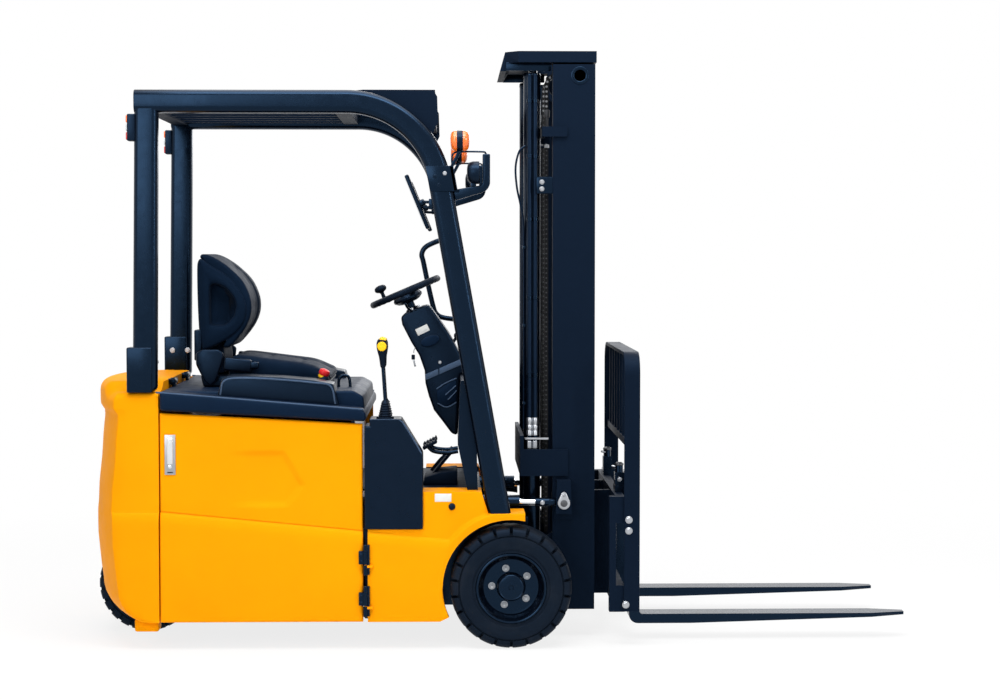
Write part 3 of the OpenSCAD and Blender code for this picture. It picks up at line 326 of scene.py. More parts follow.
def crossings(centre, way, corners):
    """How far along a ray each side of a line of corners is crossed."""
    (cx, cz), (dx, dz) = centre, way
    for (x0, z0), (x1, z1) in zip(corners, corners[1:]):
        ex, ez = x1 - x0, z1 - z0
        den = dx * ez - dz * ex
        if abs(den) < 1e-9:
            continue
        k = ((x0 - cx) * dz - (z0 - cz) * dx) / den
        if -1e-6 <= k <= 1 + 1e-6:
            yield ((x0 - cx) * ez - (z0 - cz) * ex) / den


def polar(r, degrees):
    return r * cos(radians(degrees)), r * sin(radians(degrees))


def frame_of(axis):
    """Two directions across an axis, and the axis."""
    w = Vector(axis).normalized()
    u = w.orthogonal()
    if max(abs(w.y), abs(w.z)) > 0.9:
        u = Vector((1, 0, 0)) - w * w.x
    u.normalize()
    v = w.cross(u)
    return u, v, w


def lathe(profile, origin, axis, n=32, start=0.0):
    """Turns (radius, height) points, in millimetres, about an axis through a point in metres."""
    u, v, w = frame_of(axis)
    rows = []
    for r, h in profile:
        r, h = max(r, 0.02) / 1000, h / 1000
        rows.append([origin + w * h + (u * cos(a) + v * sin(a)) * r
                     for a in (start + 2 * pi * i / n for i in range(n))])
    return capped(rows)


def path(points, steps=8):
    """A smooth line through the given points."""
    pts = [Vector(p) for p in points]
    ext = [2 * pts[0] - pts[1]] + pts + [2 * pts[-1] - pts[-2]]
    line = []
    for i in range(1, len(ext) - 2):
        a, b, c, d = ext[i - 1:i + 3]
        for k in range(steps):
            t = k / steps
            line.append(0.5 * (2 * b + (c - a) * t + (2 * a - 5 * b + 4 * c - d) * t ** 2
                               + (3 * b - a - 3 * c + d) * t ** 3))
    return line + [pts[-1]]


def tube(line, r, n=12):
    """A round bar of radius r, in millimetres, along points in metres."""
    r /= 1000
    rows = []
    u = None
    for i, p in enumerate(line):
        w = (line[min(i + 1, len(line) - 1)] - line[max(i - 1, 0)]).normalized()
        u = w.orthogonal().normalized() if u is None else (u - w * u.dot(w)).normalized()
        v = w.cross(u)
        rows.append([p + (u * cos(a) + v * sin(a)) * r for a in (2 * pi * j / n for j in range(n))])
    return capped(rows)


def flat(y, line):
    """(x, z) points at one y."""
    return [(x, y, z) for x, z in line]


def rod(points, r, n=12, steps=8):
    """A bent round bar along points in millimetres."""
    return tube(path([at(*p) for p in points], steps), r, n)


class Kit:
    """Shapes with their materials, joined into one piece that rides on a body."""

    def __init__(self, name, body, slot):
        self.name, self.body, self.slot = name, body, slot
        self.points, self.faces, self.marks, self.mats = [], [], [], []

    def add(self, shape, mat):
        points, faces = shape
        base = len(self.points)
        if mat not in self.mats:
            self.mats.append(mat)
        self.points += [tuple(p) for p in points]
        self.faces += [tuple(base + i for i in f) for f in faces]
        self.marks += [self.mats.index(mat)] * len(faces)

    def bolt(self, origin, axis, r, h, mat=ZINC):
        """A hexagon head on its washer."""
        self.add(lathe([(r * 1.25, 0), (r * 1.25, r * 0.16), (r * 1.18, r * 0.22), (0, r * 0.22)], origin, axis,
                       20), mat)
        self.add(lathe([(r, r * 0.2), (r, h * 0.85), (r * 0.86, h), (0, h)], origin, axis, 6, 0.3), mat)

    def done(self, *replaced, angle=38, fix=True):
        """Makes the piece; edges sharper than angle stay sharp, and fix turns all faces outwards."""
        mesh = bpy.data.meshes.new(self.name)
        mesh.from_pydata(self.points, [], self.faces)
        for mat in self.mats:
            mesh.materials.append(mat)
        mesh.polygons.foreach_set("material_index", self.marks)
        if fix:
            bm = bmesh.new()
            bm.from_mesh(mesh)
            bmesh.ops.recalc_face_normals(bm, faces=bm.faces)
            bm.to_mesh(mesh)
            bm.free()
        mesh.shade_smooth()
        mesh.set_sharp_from_angle(angle=radians(angle))
        piece = bpy.data.objects.new(self.name, mesh)
        scene.collection.objects.link(piece)
        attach(piece, self.body)
        if replaced:
            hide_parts(*replaced)
        return piece


# Wheels


def tyre(r, rim_r, width, lugs, notch, deep, reach, centre, side):
    """A solid tyre with notched shoulders, staggered from one side to the other."""
    h = width / 2
    half = [(h - reach - 4, r), (h - reach, r), (h - 30 * width / 173, r - 0.6), (h - 17 * width / 173, r - 4),
            (h - 9 * width / 173, r - 9), (h - 4, r - 18), (h - 2, r - 28), (h - 2.2, r - 30), (h - 7, r - 31.5),
            (h - 7, r - 34), (h - 1.5, r - 36), (h, r - 46), (h - 0.5, r - 60), (h - 3, r - 72)]
    half += [(h - 2, rim_r + 14), (h - 3, rim_r + 12), (h - 7, rim_r + 11), (h - 8, rim_r + 5), (h - 6, rim_r)]
    half = [p for p in half if p[1] >= rim_r]
    half = sorted(half, key=lambda p: -p[1]) if r - 72 < rim_r + 14 else half
    angles = []
    pitch = 360 / lugs
    for i in range(lugs):
        for k in range(2):
            mid = (i + k / 2) * pitch
            angles += [(mid - notch - 0.35, -1), (mid - notch, k), (mid + notch, k), (mid + notch + 0.35, -1)]
            angles.append((mid + pitch / 4, -1))
    rows = []
    for a, cut in angles:
        row = []
        for k, sign in ((0, -1), (1, 1)):
            part = []
            for y, q in half:
                if cut == k and q > r - 30 and y > h - reach - 1:
                    y, q = min(y, h - 12), min(q, r - deep)
                part.append((sign * y, q))
            row += part[::-1] if k == 0 else part
        c, s = cos(radians(a)), sin(radians(a))
        rows.append([at(centre[0] + q * c, centre[1] + side * y, centre[2] + q * s) for y, q in row])
    return sheet(rows, close_u=True, close_v=True)


def front_wheel(side, name):
    body = "wheel_" + name
    mid = side * (TYRE_IN + TYRE_W / 2)
    kit = Kit(name + "_tyre_tread", body, "tyre_rubber")
    kit.add(tyre(WHEEL_R, 134, TYRE_W, 22, 1.25, 24, 44, (0, mid, WHEEL_R), side), RUBBER)
    kit.done(name + "_tyre")
    w = TYRE_W
    face = w - 51
    kit = Kit(name + "_rim_dish", body, "black_paint")
    dish = [(40.5, face - 8), (40.5, 20), (100, 20), (117, 5), (133.6, 4), (133.6, w - 9), (131, w - 4),
            (127, w - 2.5), (123.5, w - 4), (121.5, w - 10), (120, w - 22), (116, w - 31), (108, w - 38),
            (104.5, w - 43), (103, w - 49), (99, face + 1), (95, face), (60, face), (55, face + 1),
            (52, face + 5), (50.5, face + 22), (49, face + 26), (46, face + 28), (44, face + 27), (42, face + 28),
            (10, face + 28.5), (8, face + 26), (0, face + 26)]
    kit.add(lathe(dish, at(0, side * TYRE_IN, WHEEL_R), (0, side, 0), 72), BLACK)
    for i in range(5):
        x, z = polar(72, 105.7 + 72 * i)
        seat = at(x, side * (TYRE_IN + face), WHEEL_R + z)
        kit.bolt(seat, (0, side, 0), 11, 14)
        kit.add(lathe([(6, 14), (6, 21), (4.5, 23), (0, 23)], seat, (0, side, 0), 14), ZINC)
    kit.done(name + "_rim")


def rear_wheels():
    kit = Kit("rear_tyre_treads", "rear_wheels", "tyre_rubber")
    for side in (-1, 1):
        kit.add(tyre(REAR_R, 118, 114, 24, 1.9, 17, 40, (REAR_X, side * 87, REAR_R), side), RUBBER)
    kit.done("rear_tyres")
    kit = Kit("rear_rim_dishes", "rear_wheels", "black_paint")
    dish = [(22.5, 60), (22.5, 6), (98, 6), (100, 0), (117.6, 0), (117.6, 106), (114, 108), (106, 107),
            (103, 102), (97, 72), (90, 64), (60, 58), (54, 62), (50, 82), (46, 85), (0, 85)]
    for side in (-1, 1):
        kit.add(lathe(dish, at(REAR_X, side * 34, REAR_R), (0, side, 0), 64), BLACK)
        for i in range(5):
            x, z = polar(76, 90 + 72 * i)
            kit.bolt(at(REAR_X + x, side * 94, REAR_R + z), (0, side, 0), 10, 12)
    kit.done("rear_rims")


# Body panels


def crease(x):
    """Height of the crease along the side."""
    return 514 - 74 * (x - DOOR_REAR) / (DOOR_FRONT - DOOR_REAR)


def ledge(x, z):
    """How far the panel stands out below the crease: a quarter of an ellipse."""
    t = min(max((crease(x) - z) / 44, 0.0), 1.0)
    return LEDGE * sqrt(1 - (1 - t) ** 2)


def groove(x, z):
    """The pressed line that runs just over the crease."""
    return 3.5 * exp(-((z - crease(x) - 3.0) / 1.7) ** 2)


RECESS = ((-1180, 742), (-845, 742), (-770, 612), (-833, 536), (-1180, 536))
BELOW = (0, 0.25, 0.9, 2, 3.6, 5.8, 8.8, 12.5, 17, 22, 28, 34, 39.5, 44, 49, 58)


def heights(x, low, top, count, edge):
    """Levels of a side panel from low to top, close together at the crease and the edges."""
    line = crease(x)
    lower = [low + edge * t for t in (0, 0.03, 0.12, 0.28, 0.5, 0.75, 1.0)]
    base = lower[-1]
    last = line - BELOW[-1]
    lower += [base + (last - base) * i / 14 for i in range(1, 14)]
    lower += [line - d for d in reversed(BELOW)]
    upper = [line + d for d in (0.8, 1.8, 3.0, 4.2, 5.4, 7.5)]
    upper += [line + 9 + (top - edge - line - 9) * i / count for i in range(count)]
    return lower + upper + [top - edge * t for t in (1.0, 0.75, 0.5, 0.28, 0.12, 0.03, 0)]


def rolled(near, edge):
    """How far a rounded rim falls back at a distance from its edge."""
    if near >= edge:
        return 0.0
    return edge - sqrt(max(edge ** 2 - (edge - near) ** 2, 0))


def recess(x, z):
    """The pressed area in the upper part of the door, fading to the rear."""
    depth = 1e9
    n = len(RECESS)
    for i in range(n):
        (x0, z0), (x1, z1) = RECESS[i], RECESS[(i + 1) % n]
        length = hypot(x1 - x0, z1 - z0)
        depth = min(depth, ((x - x0) * (z1 - z0) - (z - z0) * (x1 - x0)) / length)
    return 9 * smooth((depth + 6) / 26) * smooth((x + 1080) / 150)


def door(side, name):
    kit = Kit(name + "_door_panel", "door_" + name, "yellow_paint")
    edge = 9.0
    ends = [edge * t for t in (0, 0.03, 0.12, 0.28, 0.5, 0.75)]
    span = DOOR_FRONT - DOOR_REAR
    xs = [DOOR_REAR + e for e in ends]
    xs += [DOOR_REAR + edge + (span - 2 * edge) * i / 96 for i in range(97)]
    xs += [DOOR_FRONT - e for e in reversed(ends)]
    rows = []
    for x in xs:
        top = 884 - 41 * (x - DOOR_REAR) / span
        column = []
        for z in heights(x, SILL_Z, top, 56, edge):
            near = min(x - DOOR_REAR, DOOR_FRONT - x, z - SILL_Z, top - z)
            y = FACE + ledge(x, z) - groove(x, z) - recess(x, z) - rolled(near, edge)
            column.append(at(x, side * y, z))
        rows.append(column)
    points, faces = sheet(rows)
    rim = border(len(rows[0]) - 1, len(rows) - 1)
    base = len(points)
    points += [Vector((points[i].x, side * INSIDE / 1000, points[i].z)) for i in rim]
    m = len(rim)
    faces += [(rim[i], rim[(i + 1) % m], base + (i + 1) % m, base + i) for i in range(m)]
    faces.append(tuple(base + i for i in range(m)))
    kit.add((points, faces), YELLOW)
    # latch: plate, handle, lock and screw
    x0, x1, z0, z1 = -1287, -1247, 655, 804
    out = FACE * side
    kit.add(block((x0, out - 4, z0), (x1, out + side * 3, z1), 2.5, 3), ZINC)
    kit.add(block((x0 + 9, out, z0 + 38), (x1 - 9, out + side * 9, z1 - 10), 8, 4), CHROME)
    kit.add(lathe([(7, 0), (7, 6), (5.5, 7), (0, 7)], at(-1267, out + side * 2, 686), (0, side, 0), 18), CHROME)
    kit.add(block((x0 + 8, out, z0 + 5), (x1 - 8, out + side * 4, z0 + 12), 1.5), STEEL)
    for z in HINGE_LEVELS:
        kit.add(block((-568, side * 512, z - 24), (-548, side * 533, z + 26), 3), BLACK)
        kit.add(lathe([(8, 0), (8, 50)], at(HINGE_X, side * HINGE_Y, z - 24), UP, 18), BLACK)
        for dz in (-12, 13):
            kit.add(lathe([(4, 0), (4, 2), (2.6, 3.2), (0, 3.2)], at(-559, side * 533, z + dz), (0, side, 0), 12),
                    BLACK)
    kit.done(name + "_door")
    # the fixed half of each hinge, over the pins
    cover = Kit(name + "_hinge_covers", "chassis", "black_paint")
    for z in HINGE_LEVELS:
        cover.add(lathe([(9, 0), (9, 21), (7, 23), (0, 23)], at(HINGE_X, side * HINGE_Y, z + 27), UP, 18), BLACK)
        cover.add(lathe([(7, 0), (9, 2), (9, 39)], at(HINGE_X, side * HINGE_Y, z - 66), UP, 18), BLACK)
        cover.add(block((-536, side * 521, z - 64), (-527, side * 533, z + 50), 3), BLACK)
    # the rubber seal between the door and the front panel
    cover.add(block((-548, side * 468, 112), (-533, side * 499, 446), 4, 3), GRIP)
    cover.done()


def front_skin(side, name):
    """The outer face of the front panel, from the wheel arch out to its edges."""
    kit = Kit(name + "_fender_skin", "chassis", "yellow_paint")
    edges = ((-266, SILL_Z), (-535, SILL_Z), (-535, 449), (-329, 449), (-329, 588), (-110, 588), (-110, 507),
             (52, 507), (52, 268))
    inner = 256.5
    marks = [atan2(z - WHEEL_R, x) % (2 * pi) for x, z in edges]
    first, last = radians(78.3), marks[0] - 0.0005
    angles = sorted({first + (last - first) * i / 150 for i in range(151)}
                    | {m + d for m in marks for d in (-0.0006, 0.0006) if first < m + d < last})
    share = [0, 0.004, 0.02, 0.05] + [0.05 + 0.95 * i / 46 for i in range(1, 47)]
    rows = []
    for a in angles:
        end = max(inner, *crossings((0, WHEEL_R), (cos(a), sin(a)), edges))
        row = []
        for t in share:
            d = inner + (end - inner) * t
            x, z = d * cos(a), WHEEL_R + d * sin(a)
            out = max(ledge(x, z) * (1 - smooth((x + 226) / 34)), LEDGE * (1 - smooth((d - 280.5) / 16)))
            y = FACE + out + 0.8 - rolled(d - inner, 7) - rolled(max(end - d, 0), 3)
            row.append(at(x, side * y, z))
        rows.append(row)
    kit.add(sheet(rows), YELLOW)
    lip = [at(inner * cos(a), side * INSIDE, WHEEL_R + inner * sin(a)) for a in angles]
    kit.add(sheet([[row[0] for row in rows], lip]), YELLOW)
    kit.add(block((-285, side * 503, 551), (-223, side * 505.4, 582), 1), PLATE)
    kit.add(lathe([(13, 0), (13, 4), (10, 8), (0, 9)], at(-221, side * 504, 533), (0, side, 0), 24), PLASTIC)
    kit.done(angle=50, fix=False)


def weight_tail(z):
    """How far the tail of the counterweight stands in at a height."""
    marks = ((228, 19.5), (310, 8), (420, 0), (480, 0), (540, 4), (790, 24), (862, 31), (876, 30), (904, 15),
             (920, 14), (954, 14))
    if z < 228:
        return 150 - sqrt(131 ** 2 - (228 - z) ** 2)
    for (a, p), (b, q) in zip(marks, marks[1:]):
        if z <= b:
            return p + (q - p) * smooth((z - a) / (b - a))
    return 14 + 42 - sqrt(max(42 ** 2 - (min(z, WEIGHT_Z) - 954) ** 2, 0))


def weight_row(z, inset=0.0):
    """The counterweight's outline at a height, from its left front corner round the tail to the right one."""
    a = LEDGE - ledge(DOOR_REAR, z) + inset + (22 - sqrt(max(22 ** 2 - max(z - 974, 0) ** 2, 0)))
    b = weight_tail(z) + inset
    r = max(180 - inset, 40)
    half = HALF_W - a
    tail = TAIL_X + b
    pts = [(WEIGHT_FRONT + (tail + r - WEIGHT_FRONT) * i / 7, half) for i in range(7)]
    for i in range(19):
        t = radians(90 * i / 18)
        pts.append((tail + r - r * sin(t), half - r + r * cos(t)))
    pts += [(tail, (half - r) * (1 - i / 8)) for i in range(1, 9)]
    bowed = [(max(x, TAIL_X + 1100 - sqrt(1100 ** 2 - y * y) + b), y) for x, y in pts]
    return bowed + [(x, -y) for x, y in bowed[-2::-1]]


def weight_top(y, z):
    """Lowers the top towards the sides, where the guard stands."""
    drop = 35 * smooth((abs(y) - 350) / 75)
    return z - drop * smooth((z - 880) / 100)


def counterweight():
    """The casting, cut for the steered wheels and the tow jaw, with its feet and the hood's hinge pins."""
    kit = Kit("counterweight_casting", "chassis", "yellow_paint")
    levels = [SILL_Z, 106, 112, 120, 132, 148, 166, 186, 206, 228, 270, 330, 400, 440, 455]
    levels += [462 + 3.2 * i for i in range(17)]
    levels += [530, 600, 700, 790, 835, 845, 852, 858, 864, 870, 878, 890, 900, 907, 914, 922, 930, 942, 954, 962,
               969, 975, 981, 986, 990, 993, 995, WEIGHT_Z]
    rows = [[at(x, y, weight_top(y, z)) for x, y in weight_row(z)] for z in levels]
    for d in (8, 20, 45, 80, 120):
        rows.append([at(x, y, weight_top(y, WEIGHT_Z)) for x, y in weight_row(WEIGHT_Z, d)])
    points, faces = sheet(rows)
    n = len(rows[0])
    faces += [(j * n, (j + 1) * n, (j + 2) * n - 1, (j + 1) * n - 1) for j in range(len(rows) - 1)]
    faces.append(tuple(range(n)))
    faces.append(tuple(range(len(points) - n, len(points)))[::-1])
    kit.add((points, faces), YELLOW)
    casting = kit.done("counterweight")
    cuts = Kit("weight_cuts", "chassis", "yellow_paint")
    # the cutters' darker yellow is painted shade for the cut faces
    cuts.add(lathe([(256, -10), (256, 430)], at(REAR_X, 0, 0), UP, 96), SHADED_YELLOW)
    cuts.add(block((TAIL_X - 30, -60, 600), (TAIL_X + 100, 60, 680), 8, 3), YELLOW)
    cuts.add(block((TAIL_X - 30, -60, 740), (TAIL_X + 100, 60, 860), 14, 3), YELLOW)
    cuts.add(lathe([(12.4, 0), (12.4, 230)], at(TAIL_X + 52, 0, 540), UP, 24), SHADED_YELLOW)
    cutter = cuts.done()
    cut = casting.modifiers.new("cuts", "BOOLEAN")
    cut.operation = "DIFFERENCE"
    cut.solver = "EXACT"
    cut.object = cutter
    bpy.context.view_layer.update()
    mesh = bpy.data.meshes.new_from_object(casting.evaluated_get(bpy.context.evaluated_depsgraph_get()))
    casting.modifiers.clear()
    casting.data = mesh
    mesh.shade_smooth()
    mesh.set_sharp_from_angle(angle=radians(32))
    bpy.data.objects.remove(cutter)
    feet = Kit("counterweight_feet", "chassis", "yellow_paint")
    for side in (-1, 1):
        feet.add(block((-1408, side * 410, 62), (-1318, side * 480, 110), 8, 3), YELLOW)
        for y in (150, 210):
            feet.add(block((-1314, side * y, 973), (-1285, side * (y + 20), 995), 3), BLACK)
        feet.add(lathe([(6, 0), (6, 60)], at(-1295, side * 160, 985), (0, side, 0), 16), ZINC)
    feet.done()


def hood():
    """The lid with its raised middle, arm pads, rims, hinge barrels and grab loop, with painted highlight lines
    along the pads' ridges and the rims.
    """
    kit = Kit("hood_cover", "hood", "black_plastic")
    shell = [(-1304, 893), (-541, 852), (-541, 886), (-560, 903), (-1304, 966)]
    kit.add(prism(shell, -518, 518, 20, 5), SATIN)
    raised = [(-1262, 945), (-1246, 962), (-590, 962), (-553, 940), (-547, 866), (-1000, 900)]
    kit.add(prism(raised, -430, 430, 14, 4), SATIN)
    for side in (-1, 1):
        pad = [(-1097, 944), (-642, 905), (-664, 990), (-740, 1004), (-860, 1015), (-980, 1020), (-1058, 1019),
               (-1076, 1010)]
        kit.add(prism(pad, side * 330, side * 470, 6, 3), PLASTIC)
        # the light tubes along the pad's ridge and along the rim are painted highlight lines
        ridge = flat(side * 471, [(-1084, 950), (-1066, 1004), (-980, 1012), (-860, 1006), (-740, 995),
                                  (-674, 982), (-656, 915)])
        kit.add(rod(ridge, 3.4, 8, 6), PAINTED_HIGHLIGHT)
        rim = [(-1297, side * 509, 959), (-1288, side * 513, 960), (-940, side * 513, 930.5),
               (-580, side * 513, 900), (-569, side * 509, 897)]
        kit.add(rod(rim, 3.4, 8, 6), PAINTED_HIGHLIGHT)
        kit.add(lathe([(12, 0), (12, 34)], at(-1295, side * 173, 985), (0, side, 0), 20), BLACK)
        kit.add(block((-1300, side * 173, 948), (-1286, side * 207, 985), 2), BLACK)
    grab = flat(-215, [(-657, 950), (-657, 985), (-648, 1002), (-632, 1006), (-617, 996), (-612, 950)])
    kit.add(rod(grab, 6, 10), BLACK)
    kit.done("hood_lid")


def stop_button():
    button = Kit("stop_button_head", "hood", "red_plastic")
    foot = at(-710, -283, 962)
    lean = (0.4, -0.1, 1)
    top = at(-716, -281, 1002)
    button.add(lathe([(21, 0), (21, 34), (17, 44), (12, 46)], foot, UP, 32), PLASTIC)
    button.add(lathe([(12, -4), (17, 0), (18, 4), (17, 9), (12, 11)], top, lean, 32), KNOB_YELLOW)
    button.add(lathe([(11, 8), (19, 12), (20.5, 17), (20.5, 25), (18, 31), (11, 34), (0, 35)], top, lean, 32),
               RED)
    button.done("stop_button")


# Seating


def soften(piece):
    curve = piece.modifiers.new("round", "SUBSURF")
    curve.levels = curve.render_levels = 1


def cushion_top(u, v):
    """Crowned sitting surface with raised side rolls; u runs across, v from rear to front."""
    roll = smooth((abs(u) - 0.55) / 0.35) * 16
    crown = (1 - u * u) * 6
    return roll + crown - 8 * smooth((v - 0.8) / 0.2)


def cushion():
    """A crowned pad with side rolls, two cross seams and piping, flat where it rests."""
    kit = Kit("sitting_cushion", "hood", "cushion_cloth")
    nu, nv = 48, 44
    x0, x1, half = -1084, -686, 231
    rows_top, rows_low = [], []
    for j in range(nv + 1):
        v = j / nv
        top, low = [], []
        for i in range(nu + 1):
            u = -1 + 2 * i / nu
            su = copysign(abs(u) ** 0.75, u)
            pull = 1 - 0.02 * sin(pi * v)
            x = x0 + (x1 - x0) * v
            corner = (1 - abs(u) ** 6) ** (1 / 6)
            x = (x0 + x1) / 2 + (x - (x0 + x1) / 2) * (0.9 + 0.1 * corner)
            base = 1094 - 54 * v - 16 * smooth((v - 0.72) / 0.28)
            side = (1 - abs(su) ** 5) ** 0.32
            end = (1 - abs(2 * v - 1) ** 9) ** 0.32
            fall = side * end
            bottom = 1010 - 0.05 * (x + 1190) + 1
            z = bottom + 22 + (base + cushion_top(su, v) - bottom - 30) * fall
            seam = 5 * exp(-((abs(su) - 0.56) / 0.03) ** 2)
            for line in (0.36, 0.68):
                seam += 4 * exp(-((v - line) / 0.025) ** 2) * (abs(su) < 0.56)
            top.append(at(x, su * half * pull, z - seam * fall))
            low.append(at((x0 + x1) / 2 + (x - (x0 + x1) / 2) * 0.97, su * half * pull * 0.97, bottom))
        rows_top.append(top)
        rows_low.append(low)
    points, faces = sheet(rows_top)
    rim = border(nu, nv)
    low, low_faces = sheet(rows_low)
    base = len(points)
    points += low
    faces += [tuple(base + i for i in f)[::-1] for f in low_faces]
    m = len(rim)
    faces += [(rim[i], base + rim[i], base + rim[(i + 1) % m], rim[(i + 1) % m]) for i in range(m)]
    kit.add((points, faces), VINYL)
    line = [(points[i] * 0.5 + points[base + i] * 0.5) for i in rim[::3]]
    kit.add(tube(line + [line[0]], 3.0, 8), VINYL)
    piece = kit.done("seat_cushion", angle=60)
    soften(piece)


SHELL_SIDE = ((-1184, 1100), (-1195, 1180), (-1200, 1300), (-1201, 1410), (-1198, 1444), (-1186, 1457),
              (-1168, 1446), (-1147, 1430), (-1092, 1397), (-1056, 1362), (-1024, 1311), (-1011, 1260),
              (-1022, 1210), (-1060, 1165), (-1110, 1133), (-1150, 1112))
PAD_SIDE = ((-1192, 1462), (-1182, 1474), (-1149, 1467), (-1110, 1446), (-1074, 1419), (-1027, 1372),
            (-1000, 1315), (-993, 1269), (-1000, 1226), (-1023, 1180), (-1065, 1128), (-1088, 1112),
            (-1104, 1122), (-1076, 1166), (-1046, 1214), (-1036, 1260), (-1048, 1304), (-1078, 1346),
            (-1118, 1382), (-1160, 1424))
POCKET = ((-1154, 1198), (-1154, 1352), (-1146, 1362), (-1124, 1362), (-1088, 1343), (-1057, 1306), (-1050, 1274),
          (-1059, 1234), (-1086, 1203), (-1104, 1197))


# share of the way to the pocket's rim, size of the rim, and depth
POCKET_STEPS = ((0.3, 1, -4), (0.7, 1, -4), (0.94, 1, 0), (1, 1, 4), (1, 0.97, 12), (1, 0.94, 44), (1, 0.88, 50),
                (1, 0.5, 48), (1, 0.2, 48))


def pocket_point(x, z):
    """Where the line from the pocket's middle towards a point crosses its rim."""
    cx, cz = -1108.0, 1276.0
    dx, dz = x - cx, z - cz
    t = next((t for t in crossings((cx, cz), (dx, dz), POCKET + POCKET[:1]) if t > 0), 1.0)
    return cx, cz, dx * t, dz * t


def swept(side, half, round_r, shape):
    """Rows across the seat, from a side outline that shrinks at both ends by a round edge."""
    outline = path([at(x, 0, z) for x, z in side + side[:1]], 3)[:-1]
    n = len(outline)
    inward = []
    for i, p in enumerate(outline):
        run = outline[(i + 1) % n] - outline[i - 1]
        inward.append(Vector((-run.z, 0, run.x)).normalized())
    area = sum(outline[i].x * outline[(i + 1) % n].z - outline[(i + 1) % n].x * outline[i].z for i in range(n))
    sign = 1 if area > 0 else -1
    rows = []
    for i in range(61):
        u = -1 + i / 30
        y = copysign(1 - (1 - abs(u)) ** 1.6, u)
        near = max((abs(y) * half - half + round_r) / round_r, 0)
        shrink = round_r * (1 - sqrt(max(1 - near ** 2, 0))) / 1000
        row = []
        for p, way in zip(outline, inward):
            q = shape(p.copy(), y) + way * (sign * shrink)
            row.append(Vector((q.x, y * half / 1000, q.z)))
        rows.append(row)
    return rows


def backrest():
    """A shell with a deep pocket in each side and, in front of it, a separate cushion between two seams."""
    kit = Kit("back_cushion", "hood", "cushion_cloth")
    rows = swept(SHELL_SIDE, 216, 16, lambda p, y: p)
    points, faces = sheet(rows, close_u=True)
    n = len(rows[0])
    for k, sign in ((0, -1), (60, 1)):
        last = [k * n + i for i in range(n)]
        ring = [points[i].copy() for i in last]
        rims = [pocket_point(p.x * 1000 - FRONT_X, p.z * 1000) for p in ring]
        for share, scale, deep in POCKET_STEPS:
            fresh = []
            for p, (cx, cz, rx, rz) in zip(ring, rims):
                aim = at(cx + rx * scale, 0, cz + rz * scale)
                q = p.lerp(Vector((aim.x, p.y, aim.z)), share)
                q.y -= sign * deep / 1000
                points.append(q)
                fresh.append(len(points) - 1)
            faces += [(last[i], last[(i + 1) % n], fresh[(i + 1) % n], fresh[i]) for i in range(n)]
            last = fresh
        faces.append(tuple(last))
    kit.add((points, faces), VINYL)

    def quilt(p, y):
        """Presses a hollow, two upright seams and three cross seams into the front."""
        front = smooth((p.x - at(-1062, 0, 0).x + 0.05 * smooth((p.z - 1.3) / 0.15)) / 0.03)
        p.x -= 0.012 * (1 - smooth((abs(y) - 0.45) / 0.3)) * front
        p.x -= exp(-((abs(y) - 0.62) / 0.03) ** 2) * 0.006 * front
        for z in (1.17, 1.27, 1.37):
            if abs(y) < 0.58:
                p.x -= 0.0045 * exp(-((p.z - z) / 0.009) ** 2) * front
        return p

    kit.add(capped(swept(PAD_SIDE, 203, 15, quilt)), VINYL)
    neck = [(-1186, 1010), (-1104, 1010), (-1100, 1060), (-1108, 1136), (-1180, 1128)]
    kit.add(prism(neck, -150, 150, 8, 2), VINYL)
    piece = kit.done("seat_backrest", angle=70)
    soften(piece)


def seat_trim():
    """The seat's frame with its side shields, belt buckle and recliner."""
    kit = Kit("seat_frame", "hood", "black_plastic")
    base = [(-1180, 963), (-700, 963), (-690, 985), (-1190, 1009)]
    kit.add(prism(base, -208, 208, 6, 3), PLASTIC)
    for side in (-1, 1):
        shield = [(-1204, 1094), (-1180, 1108), (-1118, 1108), (-1098, 1094), (-1102, 1060), (-1128, 985),
                  (-1150, 966), (-1172, 985), (-1204, 1050)]
        kit.add(prism(shield, side * 222, side * 240, 7, 3), PLASTIC)
        kit.add(block((-1213, side * 130, 1064), (-1186, side * 214, 1182), 5, 3), PLASTIC)
        kit.add(block((-1094, side * 236, 1024), (-990, side * 262, 1074), 8, 3, (6, "Y")), PLASTIC)
        kit.add(lathe([(15, 0), (15, 6), (10, 8), (0, 8)], at(-978, side * 240, 1046), (0, side, 0), 24), PLASTIC)
        kit.add(block((-1000, side * 238, 1034), (-962, side * 256, 1060), 5, 3), BLACK)
    kit.done("seat_base")


# Cab


